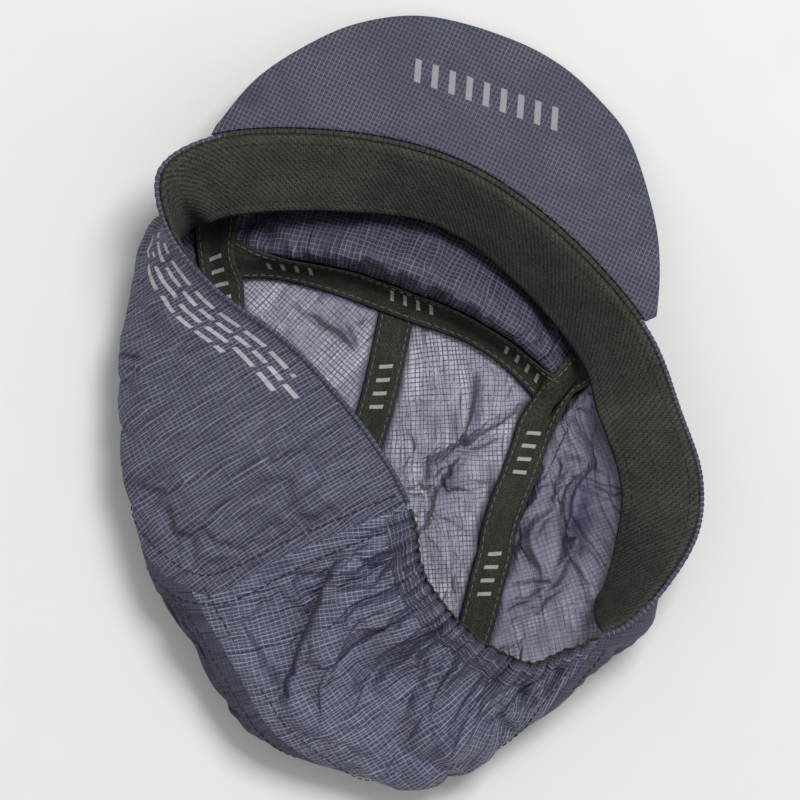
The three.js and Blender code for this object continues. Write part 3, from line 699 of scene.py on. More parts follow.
def ripples(moves):
    """The small waves of a grid of moves, without the broad swell of the whole panel."""
    swell = moves
    for step in range(24):
        swell = smoothed(smoothed(swell, 1).swapaxes(0, 1), 1).swapaxes(0, 1)
    return moves - swell


def finer(values):
    """Doubles the rows and columns of a grid of vectors."""
    for axis in (0, 1):
        values = np.moveaxis(values, axis, 0)
        ends = np.concatenate([2 * values[:1] - values[1:2], values, 2 * values[-1:] - values[-2:-1]])
        middle = (9 * (ends[1:-2] + ends[2:-1]) - ends[:-3] - ends[3:]) / 16
        fine_values = np.empty((2 * len(values) - 1, *values.shape[1:]))
        fine_values[::2] = values
        fine_values[1::2] = middle
        values = np.moveaxis(fine_values, 0, axis)
    return values


shell_points, shell_faces = coarse_shell()

def looseness(places):
    below_rim = np.clip(turn_and_depth(places)[1] / 8 - 1, 0, 1)
    return np.clip((seam_distance(places) - 6.5) / 4, 0, 1) * held_by_band(places) * below_rim

loose = [looseness(places[::2, ::2]).ravel() for places in panel_places.values()]
loose = np.concatenate(loose)
moves = buckled(shell_points, shell_faces, np.where(loose < 0.12, 1.0, 0.0)) - shell_points
size = np.linalg.norm(moves, axis=1, keepdims=True)
limited = moves / np.maximum(size, 1e-6) * MOST_MOVE * np.tanh(size / MOST_MOVE)
moves = limited * loose[:, None] ** 0.5
print("cloth moved by up to", round(size.max(), 1), "mm and on average", round(size.mean(), 2))
settled, start = {}, 0
for name, grid in folded.items():
    rows, columns = grid[::2, ::2].shape[:2]
    move = finer(ripples(moves[start:start + rows * columns].reshape(rows, columns, 3)))
    print(name, "moved on average by", round(np.linalg.norm(move, axis=-1).mean(), 2), "mm")
    settled[name] = grid + move
    settled[name][..., 2] = np.maximum(settled[name][..., 2], LOWEST)
    start += rows * columns

# %% [markdown]
# ## Laying the cloth flat
# The grid of the ripstop has to run straight through a cut panel, as it did on the roll of
# cloth. Blender's unwrapping lays the bent panel flat with little stretch. The flat result is
# scaled to millimetres, turned so that the yarns run as on the real cap, and kept at the points
# of the mesh. Materials read it there.

# %% Unwrap to millimetres
def lay_flat(piece, start, end):
    """Flat places in millimetres, turned so that x runs from one point of the mesh to another."""
    bpy.context.view_layer.objects.active = piece
    piece.select_set(True)
    piece.data.uv_layers.new(name="flat")
    bpy.ops.object.mode_set(mode="EDIT")
    bpy.ops.mesh.select_all(action="SELECT")
    bpy.ops.uv.unwrap(method="ANGLE_BASED", margin=0)
    bpy.ops.object.mode_set(mode="OBJECT")
    piece.select_set(False)
    mesh = piece.data
    flat = mesh.uv_layers["flat"]
    places = np.zeros((len(mesh.vertices), 2))
    places[read_values(mesh.loops, "vertex_index", 1, int)[:, 0]] = read_values(flat.data, "uv", 2)
    solid = read_values(mesh.vertices, "co", 3) * 1000
    a, b = read_values(mesh.edges, "vertices", 2, int).T
    stretch = np.linalg.norm(solid[a] - solid[b], axis=1).sum()
    stretch = stretch / np.linalg.norm(places[a] - places[b], axis=1).sum()
    run = places[end] - places[start]
    angle = math.atan2(run[1], run[0])
    c, s = math.cos(angle) * stretch, math.sin(angle) * stretch
    centred = places - places[start]
    mesh.uv_layers.remove(flat)
    return vectors(
        c * centred[:, 0] + s * centred[:, 1],
        -s * centred[:, 0] + c * centred[:, 1],
    )


# %% [markdown]
# ## Finishes
# A material is a little network of nodes. To write one as plain sums, a small class wraps a
# socket and gives it Python's signs, and one method adds any other node. Patterns are worked
# out in millimetres of flat cloth, so the weave keeps its scale whatever the shape.

# %% Write materials as sums
class Wire:
    """A socket of a finish that takes part in Python's sums."""

    def __init__(self, finish, socket):
        self.finish = finish
        self.socket = socket

    def also(self, output):
        return Wire(self.finish, self.socket.node.outputs[output])

    def sum(self, operation, *values):
        return self.finish.node("ShaderNodeMath", {"operation": operation}, dict(enumerate(values)))

    def __add__(self, other):
        return self.sum("ADD", self, other)

    def __sub__(self, other):
        return self.sum("SUBTRACT", self, other)

    def __rsub__(self, other):
        return self.sum("SUBTRACT", other, self)

    def __mul__(self, other):
        return self.sum("MULTIPLY", self, other)

    __radd__ = __add__
    __rmul__ = __mul__


class Finish:
    """A material made of nodes."""

    def __init__(self, name, **constants):
        self.material = bpy.data.materials.new(name)
        self.material.use_nodes = True
        self.tree = self.material.node_tree
        self.shader = self.tree.nodes["Principled BSDF"]
        for socket, value in constants.items():
            self.shader.inputs[socket.replace("_", " ")].default_value = value

    def node(self, kind, settings=None, values=None):
        node = self.tree.nodes.new(kind)
        for key, value in (settings or {}).items():
            setattr(node, key, value)
        for key, value in (values or {}).items():
            if isinstance(value, Wire):
                self.tree.links.new(value.socket, node.inputs[key])
            else:
                node.inputs[key].default_value = value
        return Wire(self, node.outputs[0])

    def kept(self, name):
        """The vector that a piece keeps at its points, and its x and y."""
        vector = self.node("ShaderNodeAttribute", {"attribute_name": name}).also("Vector")
        parts = self.node("ShaderNodeSeparateXYZ", {}, {0: vector})
        return vector, parts, parts.also(1)

    def kept_number(self, name):
        return self.node("ShaderNodeAttribute", {"attribute_name": name}).also("Fac")

    def rise(self, value, low, high):
        """From 0 at low to 1 at high."""
        values = {0: value, 1: low, 2: high}
        return self.node("ShaderNodeMapRange", {"interpolation_type": "SMOOTHSTEP"}, values)

    def within(self, value, low, high, soft=0.12):
        return self.rise(value, low - soft, low + soft) * self.rise(value, high + soft, high - soft)

    def clouds(self, vector, scale, detail=2.0):
        """Soft noise around 0.5 with features 1 / scale of the vector's units wide."""
        return self.node("ShaderNodeTexNoise", {}, {"Vector": vector, "Scale": scale, "Detail": detail})

    def stretched(self, vector, x, y):
        return self.node("ShaderNodeVectorMath", {"operation": "MULTIPLY"}, {0: vector, 1: (x, y, 1)})

    def blend(self, share, a, b):
        return self.node("ShaderNodeMix", {"data_type": "RGBA"}, {0: share, 6: a, 7: b}).also(2)

    def feed(self, name, wire):
        self.tree.links.new(wire.socket, self.shader.inputs[name])

    def bump(self, height, distance, strength=1.0):
        values = {"Strength": strength, "Distance": distance, "Height": height}
        self.feed("Normal", self.node("ShaderNodeBump", {}, values))


# %% [markdown]
# ### Ripstop
# Every 1.3 to 1.85 mm a doubled yarn runs along and across. It is denser and paler than the
# ground, so it shows as a light grid where the cloth lies over dark, and as a dark grid where
# light comes through from behind. Both come from one recipe: the yarns have a paler colour and
# let no light through, and the ground lets part of it through. Creases, valleys and the flanks of
# folds get a darker, bluer painted shade, and let less light through there. Near the floor the thin
# panels get painted light from below, and each copy of the cloth gets its own painted brightness.

# %% Ripstop
GROUND_DARK = np.array([0.033, 0.036, 0.063])
GROUND_PALE = np.array([0.062, 0.066, 0.107])
DOUBLED_YARN = np.array([0.212, 0.218, 0.285])
# Painted light: the pale lilac ground colour of thin cloth that lies near the lit floor.
LIT_GROUND = (0.42, 0.405, 0.66, 1)
# Painted shade: the dark blue colour mixed into creases, valleys and the flanks of folds.
FOLD_SHADE_COLOUR = (0.021, 0.024, 0.056, 1)
PALE_MARKS = np.array([0.42, 0.43, 0.44])


def ripstop(
    name, ground_cover=1.0, marks=None, pitch=(1.85, 1.5), bunching=2.6, pleats=(0.03, 0.22),
    glow=0.0, painted_light_scale=1.2, clear=(1.0, 1.0),
):
    """The cloth. Pitches are in millimetres, pleats in features per millimetre along x and y.

    Clear says how well the two sets of doubled yarns show. The brightness factor scales all
    colours of this copy of the cloth: painted light, lighter or darker for the light on its part.
    """
    finish = Finish(name, Roughness=0.62, Specular_IOR_Level=0.35)
    flat, x, y = finish.kept("flat_mm")
    lean = finish.kept_number("lean")
    bunched_x = finish.clouds(finish.stretched(flat, 0.11, 0.04), 1.0, 1.0) * bunching
    bunched_y = finish.clouds(finish.stretched(flat, 0.04, 0.13), 1.0, 1.0) * bunching
    uneven = finish.clouds(flat, 0.7, 2.0)

    pleat = finish.clouds(finish.stretched(flat, *pleats), 1.0, 2.5)
    if pleats[0] < pleats[1]:
        bunched_y = bunched_y + pleat * bunching
    else:
        bunched_x = bunched_x + pleat * bunching

    def yarn(place, spacing):
        away = place.sum("PINGPONG", place, spacing / 2)
        return finish.rise(away, 0.23, 0.07) * finish.rise(uneven, 0.0, 0.55)

    along_x = yarn(x + bunched_x, pitch[0]) * clear[0]
    grid = x.sum("MAXIMUM", along_x, yarn(y + bunched_y, pitch[1]) * clear[1])
    specks = finish.clouds(flat, 2.2, 1.0)
    crease = finish.rise(x.sum("PINGPONG", pleat, 0.5), 0.4, 0.5)
    mass = finish.clouds(finish.stretched(flat, pleats[0] * 0.5, pleats[1] * 0.4), 1.0, 2.0)
    # Painted shade: valleys, creases and the flanks of folds are darkened where shade falls; the same mask
    # makes the cloth let less light through.
    valley_shade = finish.rise(pleat, 0.48, 0.33) * finish.rise(mass, 0.35, 0.55) * 0.9
    flank_shade = finish.rise(lean, 0.03, 0.4 - 0.11 * glow)
    painted_fold_shade = x.sum("MAXIMUM", flank_shade, x.sum("MAXIMUM", crease * 0.45, valley_shade))
    # Painted light: the brightness factor makes this copy of the cloth lighter or darker.
    ground = finish.blend(specks, (*(painted_light_scale * GROUND_DARK), 1), (*(painted_light_scale * GROUND_PALE), 1))
    # Painted light from below: near the floor the ground is mixed toward the lit colour.
    if glow:
        lit = finish.kept_number("lit")
        ground = finish.blend(lit * glow, ground, LIT_GROUND)
    # Where light from below is painted in, the yarns are painted darker as well, as if seen against the
    # light.
    lines = painted_light_scale * (1 - 0.62 * glow) * DOUBLED_YARN
    colour = finish.blend(grid * 0.9, ground, (*lines, 1))
    colour = finish.blend(painted_fold_shade * (0.66 + 0.12 * glow), colour, FOLD_SHADE_COLOUR)
    if marks:
        colour = finish.blend(marks(finish) * 0.8, colour, (*(painted_light_scale * PALE_MARKS), 1))
    finish.feed("Base Color", colour)
    if ground_cover < 1:
        cover = finish.rise(specks, 0.2, 0.8) * 0.14 + (ground_cover - 0.07)
        seam = finish.kept_number("seam_mm")
        doubled = finish.rise(seam, 6.4, 5.6) * 0.3
        if glow:
            doubled = doubled + (1 - lit) * 0.45
        print(name, "lets through", round(100 * (1 - ground_cover)), "% of the light in its ground")
        ground_alpha = cover + doubled + painted_fold_shade * (0.34 + 0.12 * glow)
        finish.feed("Alpha", x.sum("MINIMUM", x.sum("MAXIMUM", ground_alpha, grid * 0.97), 1.0))
    crinkle = finish.clouds(finish.stretched(flat, 1.0, 0.6), 0.3, 3.0)
    finish.bump(grid * 0.3 + specks * 0.2 + crinkle * 2.0 + pleat * 9.0 - crease * 0.8, 0.0004, 0.85)
    return finish.material


PEAK_MARKS_HALF = 27.3


def side_marks(finish):
    """Four rows of pale dashes along the rim."""
    along, depth = finish.kept("marks_mm")[1:]
    total = None
    dashes = [(4, 58, 9.5, 1), (0, 66, 7.0, 4), (6, 61, 11.0, 2), (0, 44, 8.0, 0)]
    for row, (start, end, dash, offset) in enumerate(dashes):
        top = 7.0 + 4.7 * row
        spaced = along.sum("FRACT", (along + offset) * (1 / dash))
        bar = finish.within(depth, top, top + 1.8) * finish.within(along, start, end)
        bar = bar * finish.within(spaced, 0.08, 0.86, 0.02)
        total = bar if total is None else total + bar
    return total


def peak_marks(finish):
    """A row of slanted pale bars on the underside of the peak."""
    along, across = finish.kept("marks_mm")[1:]
    slanted = along + across * 0.25
    spaced = along.sum("FRACT", (slanted + PEAK_MARKS_HALF) * (9 / (2 * PEAK_MARKS_HALF)))
    face = finish.kept_number("hollow_face")
    row = finish.within(slanted, -PEAK_MARKS_HALF, PEAK_MARKS_HALF) * finish.within(across, -3.9, 3.9)
    return row * finish.within(spaced, 0.32, 0.68, 0.02) * face


# Each copy's brightness factor is painted light: the same ripstop is made lighter or darker for the light
# that falls on its part of the cap.
tops = ripstop("ripstop", 0.27, pitch=(1.6, 1.35), glow=1.0)
panel_finishes = {
    "front_panel": ripstop("ripstop_front", 0.92, painted_light_scale=0.95),
    "right_side_panel": ripstop(
        "ripstop_marked", 0.92, side_marks, pitch=(1.85, 1.3), pleats=(0.035, 0.3),
        painted_light_scale=1.45, clear=(0.6, 1.0),
    ),
    "rear_panel": ripstop("ripstop_rear", 0.92, pitch=(1.85, 1.3), painted_light_scale=1.95, clear=(0.65, 1.0)),
    "left_side_panel": ripstop(
        "ripstop_left", 0.46, pitch=(1.6, 1.35), pleats=(0.2, 0.03), glow=0.7
    ),
    "right_top_panel": tops,
    "left_top_panel": tops,
}
lined = ripstop("ripstop_lined", painted_light_scale=1.4)
rim_cloth = ripstop("ripstop_rim", bunching=0.0, painted_light_scale=1.05)
peak_cloth = ripstop(
    "ripstop_peak", marks=peak_marks, pitch=(1.41, 1.58), bunching=0.5, pleats=(0.02, 0.03), painted_light_scale=0.82,
    clear=(1.0, 0.75),
)

# %% [markdown]
# ### Tape and knit
# The seam tape is a closely woven dark olive twill. The sweatband is a fine knit, with wales
# that run across the band and rows of loops between them. Both are matt, and most of their look
# is in the small relief; the knit's colour also holds painted shade that follows that relief.

# %% Tape and knit
MARKS_APART = 43.0


def tape_finish(name, marks=None):
    """Twill tape. Marks says how many millimetres along it the first group of pale bars is."""
    finish = Finish(name, Roughness=0.85, Specular_IOR_Level=0.2)
    run, along, across = finish.kept("run_mm")
    twill = along.sum("SINE", (along + across) * 9.0) * 0.5 + 0.5
    fibres = finish.rise(finish.clouds(run, 1.8, 3.0), 0.25, 0.75)
    mottle = finish.clouds(finish.stretched(run, 0.09, 0.3), 1.0, 3.0)
    # The colour goes paler with the fine fibre noise and darker where the larger stretched noise is high;
    # both noises also shape the bump.
    colour = finish.blend(fibres, (0.019, 0.02, 0.014, 1), (0.07, 0.072, 0.057, 1))
    colour = finish.blend(finish.rise(mottle, 0.35, 0.65) * 0.5, colour, (0.022, 0.023, 0.017, 1))
    if marks is not None:
        place = along.sum("FRACT", (along + (21.4 - marks)) * (1 / MARKS_APART)) * MARKS_APART
        bar = along.sum("FRACT", (place - 12.0 + across * 0.28) * (1 / 4.7)) * 4.7
        shown = finish.within(place + across * 0.28, 12.0, 30.8) * finish.within(across, -2.2, 2.2)
        shown = shown * finish.within(bar, 1.4, 2.7) * across.also(2)
        colour = finish.blend(shown * 0.85, colour, (0.5, 0.5, 0.48, 1))
    finish.feed("Base Color", colour)
    finish.bump(twill * 0.3 + fibres * 0.8 + mottle * 6.0, 0.00025, 0.7)
    return finish.material


def knit_finish():
    finish = Finish("knit", Roughness=0.92, Specular_IOR_Level=0.15)
    run, along, across = finish.kept("run_mm")
    wale = along.sum("SINE", along * (2 * math.pi / 0.9)) * 0.5 + 0.5
    course = along.sum("SINE", across * (2 * math.pi / 0.75)) * 0.5 + 0.5
    loops = wale * 0.6 + course * 0.4
    fuzz = finish.clouds(run, 1.6, 3.0)
    mottle = finish.clouds(run, 0.09, 2.0)
    twist = finish.rise(along.sum("SINE", (along * 1.0 + across * 0.8) * 3.4), -1.0, 1.0)
    depth = loops * 0.3 + twist * 0.3 + finish.rise(fuzz, 0.3, 0.7) * 0.4
    # Painted shade: the colour follows the relief of the loops and twist that also feeds the bump, darker in
    # the low places.
    colour = finish.blend(depth, (0.014, 0.015, 0.011, 1), (0.1, 0.101, 0.087, 1))
    # Darker patches where the large noise is high.
    colour = finish.blend(finish.rise(mottle, 0.35, 0.7) * 0.35, colour, (0.022, 0.023, 0.018, 1))
    finish.feed("Base Color", colour)
    finish.bump(depth * 1.4 + fuzz, 0.0003, 0.8)
    return finish.material


def thread_finish(name, dark, pale):
    finish = Finish(name, Roughness=0.7, Specular_IOR_Level=0.3)
    run, along, across = finish.kept("run_mm")
    ply = along.sum("SINE", (along * 2.0 + across * 5.0) * 3.0) * 0.5 + 0.5
    mottled = finish.clouds(run, 0.4, 2.0)
    # Half of the colour change follows the twist of the plies that shapes the bump, painted shade in its
    # grooves; the other half is random mottle.
    finish.feed("Base Color", finish.blend(ply * 0.5 + mottled * 0.5, dark, pale))
    finish.bump(ply, 0.0001, 0.6)
    return finish.material


plain_tape = tape_finish("tape_plain")
first_marks = {"centre": 28.0, "cross": 14.0, "right": 9.0, "left": 46.0}
tapes = {label: tape_finish(f"tape_{label}", first) for label, first in first_marks.items()}
knit = knit_finish()
olive_thread = thread_finish("thread_olive", (0.05, 0.051, 0.045, 1), (0.22, 0.22, 0.2, 1))
dark_thread = thread_finish("thread_dark", (0.006, 0.006, 0.006, 1), (0.02, 0.021, 0.018, 1))
blue_thread = thread_finish("thread_blue", (0.01, 0.011, 0.016, 1), (0.035, 0.037, 0.05, 1))

# %% [markdown]
# ## The panels
# Each panel is its own sheet. The unwrapping wants to know which way the yarns run, so every
# panel names two of its points that lie on one yarn. A panel also keeps how far each point is
# from the nearest seam, because the cloth is doubled there and lets less light through, and how
# much the folded cloth leans away from the smooth wall, where the flanks of folds get painted shade.
# Where the single cloth lies near the pale floor, painted light from below brightens it, and how
# much is kept as well.

# %% Make the panels
MARKS_START = 70
MM_A_DEGREE = 1.35
SIDE_STRETCH = 1.1

# two points of each panel on one yarn, as shares of its columns and rows
grain = {
    "front_panel": ((0.5, 0.3), (0.5, 0.9)),
    "right_side_panel": ((0.5, 0.3), (0.5, 0.9)),
    "rear_panel": ((0.5, 0.2), (0.5, 0.95)),
    "left_side_panel": ((0.5, 0.3), (0.5, 0.9)),
    "right_top_panel": ((0.9, 0.1), (0.15, 0.9)),
    "left_top_panel": ((0.1, 0.1), (0.85, 0.9)),
}
for name, places in panel_places.items():
    rows, columns = places.shape[:2]
    points = settled[name]
    faces = grid_faces(rows, columns).tolist()
    piece = make_piece(name + "_cloth", points, faces, panel_finishes[name], name, slot="ripstop")
    start, end = (round(v * (rows - 1)) * columns + round(u * (columns - 1)) for u, v in grain[name])
    keep_values(piece, "flat_mm", lay_flat(piece, start, end))
    seam = seam_distance(places)
    keep_values(piece, "seam_mm", seam)
    facing = unit(np.cross(np.gradient(points, axis=1), np.gradient(points, axis=0)))
    keep_values(piece, "lean", 1 - abs((facing * into_hollow(places)).sum(-1)))
    # How much painted light from below each point gets, from its height over the floor and its distance from
    # a seam.
    lit_below, fading = (19, 13) if "side" in name else (7, 4)
    lit = np.clip((lit_below - points[..., 2]) / fading, 0, 1) * np.clip(seam / 2 - 3, 0, 1)
    keep_values(piece, "lit", lit)
    if name == "right_side_panel":
        turn, depth = turn_and_depth(places)
        along_rim = (turn - MARKS_START) * MM_A_DEGREE
        keep_values(piece, "marks_mm", vectors(along_rim, depth * SIDE_STRETCH))
    print(name, len(piece.data.polygons), "faces")

# %% [markdown]
# ## Bands and tapes
# A band of cloth is a strip with a little body and rounded edges. One helper makes them all: it
# takes a grid of points down the middle of the cloth and gives it two faces that meet at the
# long edges.

# %% Strips with rounded edges
def strip(name, grid, normals, thick, material, *nodes, slot=None, edge=0.9):
    """A closed band. The grid's rows run along it and its columns go across."""
    rows, columns = grid.shape[:2]
    across = run_along(grid[rows // 2])
    from_edge = np.minimum(across, across[-1] - across)
    swell = thick / 2 * np.sqrt(1 - (1 - np.clip(from_edge / edge, 0, 1)) ** 2)
    offset = normals * swell[None, :, None]
    loop = np.concatenate([grid + offset, (grid - offset)[:, -2:0:-1]], axis=1)
    count = loop.shape[1]
    piece = make_piece(name, loop, sleeve_faces(rows, count), material, *nodes, slot=slot)
    middle = across - across[-1] / 2
    sideways = np.concatenate([middle, middle[-2:0:-1]])
    u, v = np.meshgrid(run_along(grid[:, columns // 2]), sideways, indexing="ij")
    keep_values(piece, "run_mm", vectors(u, v, np.broadcast_to(np.arange(count) < columns, u.shape)))
    return piece


# %% Stitches
def stitches(name, points, normals, material, length=2.0, space=0.8, thick=0.34):
    """Short rounded stitches of thread along a row of points."""
    run = run_along(points)
    starts = np.arange(space, run[-1] - length, length + space)

    def at(distance, values):
        return np.stack([np.interp(distance, run, values[:, k]) for k in range(3)], -1)

    first, last = at(starts, points), at(starts + length, points)
    up = unit(at(starts + length / 2, normals))
    ahead = unit(last - first)
    aside = unit(np.cross(up, ahead))
    verts, values = [], []
    rings = [(0, 0.35, -0.5), (0.12, 0.85, 0.0), (0.5, 1.0, 0.45), (0.88, 0.85, 0.0), (1, 0.35, -0.5)]
    for share, size, lift in rings:
        for corner in range(6):
            angle = corner * math.pi / 3
            swing = aside * math.cos(angle) * 1.15 + up * (math.sin(angle) + lift)
            verts.append(first + (last - first) * share + swing * size * thick / 2)
            values.append(vectors(starts + length * share, np.full(len(starts), corner / 6.0)))
    one_stitch = sleeve_faces(len(rings), 6, outside_in=True)
    faces = [
        [corner + k * 6 * len(rings) for corner in face]
        for k in range(len(starts)) for face in one_stitch
    ]
    piece = make_piece(name, np.stack(verts, 1), faces, material)
    keep_values(piece, "run_mm", np.stack(values, 1))
    print(name, len(starts), "stitches")
    return piece


# %% [markdown]
# ### Seam tapes
# A tape is 12 mm wide and lies over a seam on the inner side, so it takes the cloth's own folds.
# Its rows are found by stepping sideways from the seam over the wall, a little at a time, since
# the disc is not to scale. Two rows of topstitching hold it near its edges.

# %% Lay the tapes
TAPE_STEP = 1.6
TAPE_OFFSETS = np.array([-6, -5.2, -4, -2.5, -0.9, 0.9, 2.5, 4, 5.2, 6])
TAPE_STITCH = 4.6
SEAM_STITCH = 5.2


def beside(places, distance, steps=4):
    """Places at a distance in millimetres to one side of a line over the wall."""
    for step in range(steps):
        points = wall(places)
        ahead = unit(np.gradient(points, axis=0))
        aside = unit(np.cross(into_hollow(places), ahead))
        places = moved_along(places, aside * np.reshape(distance, (-1, 1)) / steps)
        places = smoothed(places, 1)
    return places


def ironed(places):
    """A line over the wall with its small wriggles evened out."""
    points = wall(places)
    return moved_along(places, smoothed(points, 60) - points)


def lay_tape(name, path, start, short, lift, material, node, wider=(0, 1, 0)):
    """A tape on the inner side that starts and stops some millimetres short of a path's ends.

    The cloth under a bent tape stands up, so the tape is let out there. The last value holds
    where along the path, over how many millimetres and by what share.
    """
    end = path.length - short
    along = np.linspace(start, end, round((end - start) / TAPE_STEP))
    share = 1 + wider[2] * np.exp(-(((along - wider[0]) / wider[1]) ** 4))
    line = ironed(path.at(along / path.length))
    places = np.stack([beside(line, d * share) for d in TAPE_OFFSETS], 1)
    grid = smoothed(cloth(places, lift))
    normals = into_hollow(places)
    strip(name, grid, normals, 0.55, material, node, slot="tape", edge=0.5)
    for label, distance in (("near", -TAPE_STITCH), ("far", TAPE_STITCH)):
        row = beside(line, distance * share)
        points = smoothed(cloth(row, lift + 0.36))
        stitches(f"{name}_stitches_{label}", points, into_hollow(row), olive_thread, thick=0.42)


for label, path in seam_lines.items():
    start = 2 if label in ("right", "left") else 0
    count = round(path.length / TAPE_STEP)
    line = path.at(np.linspace(start, path.length - start, count) / path.length)
    for side, distance in (("near", -SEAM_STITCH), ("far", SEAM_STITCH)):
        row = beside(ironed(line), distance)
        points = smoothed(cloth(row, -0.18))
        stitches(f"{label}_seam_outside_{side}", points, -into_hollow(row), blue_thread, thick=0.42)
for label, node, start, short, lift, wider in [
    ("centre", "centre_tape", 4, 2, 0.75, (0, 1, 0)),
    ("cross", "cross_tape", 3, 3, 1.35, (65, 52, 0.35)),
    ("right", "right_side_tape", 22, 9, 1.95, (60, 22, 0.3)),
    ("left", "left_side_tape", 22, 9, 1.95, (46, 17, 0.4)),
]:
    lay_tape(node + "_laid", seam_lines[label], start, short, lift, tapes[label], node, wider)

# %% [markdown]
# ### Sweatband
# The band is 28 mm of double knit. Its upper edge is sewn inside the rim, and from there it
# hangs straight down and inward, away from the thinner wall. It is a little wavy, because the
# knit gives way where the wall slumps. Rows of stitches hold its edge and its fold.

# %% Hang the sweatband
BAND_ENDS = (202.9, 517.1)
band_turns = np.linspace(*BAND_ENDS, 420)
band_point, band_tangent = rim_frame(band_turns)[:2]
band_edge = smooth_curve(vectors(*stations[:, 13:15].T), True, ring_share(band_turns))
narrow = np.clip(np.minimum(band_turns - BAND_ENDS[0], BAND_ENDS[1] - band_turns) / 5, 0, 1)
narrow = 0.45 + 0.55 * np.sqrt(1 - (1 - narrow) ** 2)
reach = np.minimum(np.linalg.norm((band_edge - band_point)[:, :2], axis=1), BAND_WIDTH - 0.1)
band_run = unit((band_edge - band_point) * [1, 1, 0]) * reach[:, None]
band_run[:, 2] = -np.sqrt(BAND_WIDTH**2 - reach**2)
band_along = unit(band_run)
band_normal = unit(np.cross(band_tangent, band_along))
band_depths = np.array([
    0.3, 1.6, 3.4, 4.6, 6.5, 9, 11.5, 13.4, 14.6, 17, 20, 22.8, 24.2, 25.6, 27, 28,
])
wave = 0.35 * noise(band_turns[:, None] / 9, band_depths[None] / 14)
wave = wave + 0.25 * noise(band_turns[:, None] / 4, 3 + band_depths[None] / 9)
groove = sum(-0.22 * np.exp(-(((band_depths - d) / 0.7) ** 2)) for d in (3.4, 24.2))
band_lift = 2.1 - 1.2 * np.exp(-band_depths / 1.6) + wave * np.clip(band_depths / 8, 0.2, 1) + groove
band_down = band_along[:, None] * (narrow[:, None] * band_depths)[..., None]
band_grid = band_point[:, None] + band_down + band_normal[:, None] * band_lift[..., None]
band_normals = np.broadcast_to(band_normal[:, None], band_grid.shape)
strip("sweatband_knit", band_grid, band_normals, 1.3, knit, "sweatband", slot="knit", edge=0.9)
for label, column in (("top", 2), ("middle", 8), ("fold", 12)):
    row = band_grid[:, column] + band_normal * (0.56 if label == "middle" else 0.62)
    stitches(f"sweatband_stitches_{label}", row, band_normal, dark_thread)

# %% [markdown]
# ### Rim, gathered casing and its elastic
# The cloth is turned over at the rim into a thin roll. At the front, where the peak is sewn in,
# knit covers it. At the rear the roll widens into a casing round the elastic, which gathers it
# into many small puckers.

# %% Tubes along the rim
def tube(name, centres, ups, outs, radius, material, *nodes, sides=12, slot=None):
    """A closed tube whose cross-sections are spanned by two directions."""
    angles = 2 * math.pi * np.arange(sides) / sides
    radius = np.broadcast_to(radius, (len(centres), sides))
    loops = centres[:, None] + radius[..., None] * (
        np.cos(angles)[None, :, None] * outs[:, None] + np.sin(angles)[None, :, None] * ups[:, None]
    )
    faces = sleeve_faces(len(centres), sides, outside_in=True)
    piece = make_piece(name, loops, faces, material, *nodes, slot=slot)
    u, v = np.meshgrid(run_along(centres), angles * 0.02 + 0.7, indexing="ij")
    for attribute in ("run_mm", "flat_mm"):
        keep_values(piece, attribute, vectors(u, v))


def rim_roll(name, start, end, material, *nodes, slot=None):
    turns = np.linspace(start, end, round(abs(end - start) * 2.4))
    point, tangent, outward = rim_frame(turns)
    up = unit(np.cross(outward, tangent))
    angles = 2 * math.pi * np.arange(12) / 12
    ribs = 0.1 * np.sin(turns[:, None] * 3.3 + 0.6 * np.sin(turns[:, None] * 0.7))
    ribs = ribs + 0.14 * noise(turns[:, None] * 0.8, angles[None])
    tube(name, point, up, outward, 0.85 + ribs, material, *nodes, slot=slot)


rim_roll("rim_roll_left", 203, 318, rim_cloth, "rim_hem", slot="ripstop")
rim_roll("rim_roll_right", 401, 517, rim_cloth, "rim_hem", slot="ripstop")
rim_roll("rim_roll_front", 317.5, 401.5, knit, "rim_hem", slot="knit")

# %% Gather the casing
CASING_ENDS = (158.1, 201.9)
CASING_STEPS = 560
GATHERED_BY = 1.7
casing_turns = np.linspace(*CASING_ENDS, CASING_STEPS)
rolls = noise(casing_turns / 2.1 + 40, np.full(CASING_STEPS, 5.5))
ends_in = np.minimum(casing_turns - CASING_ENDS[0], CASING_ENDS[1] - casing_turns)
ends_in = np.clip(ends_in / 4, 0, 1)
ends_in = ends_in * ends_in * (3 - 2 * ends_in)
puckers = pillows(casing_turns) * ends_in


def casing_line(depth, offset):
    places = place_at(casing_turns, depth)
    offset = np.reshape(offset, (-1, 1)) * (0.45 + 0.55 * ends_in[:, None])
    return cloth(places) + into_hollow(places) * offset


top_line = casing_line(0.2, 0)
crest = unit(top_line - casing_line(4, 0))
casing_loop = [
    top_line + crest * (0.5 + 1.1 * puckers)[:, None],
    casing_line(0.6, 0.7 + 0.5 * puckers),
    casing_line(1.8, 0.9 + 0.7 * puckers),
    casing_line(3.6, 0.9 + 0.8 * puckers + 0.4 * rolls),
    casing_line(6.0, 0.8 + 0.6 * puckers),
    casing_line(8.4, 0.7 + 0.3 * puckers),
    casing_line(10.0, 0.7),
    casing_line(10.4, 0.5),
    casing_line(9.0, 0.0 - 0.3 * puckers),
    casing_line(7.2, -0.4 - 0.7 * puckers),
    casing_line(5.6, -0.6 - 1.2 * puckers - 0.4 * rolls),
    casing_line(4.0, -0.6 - 1.5 * puckers),
    casing_line(2.4, -0.6 - 1.4 * puckers - 0.4 * rolls),
    casing_line(1.0, -0.5 - 1.0 * puckers),
]
loops = np.stack(casing_loop, 1)
faces = sleeve_faces(*loops.shape[:2])
casing = make_piece("gathered_casing", loops, faces, lined, "elastic_casing", slot="ripstop")
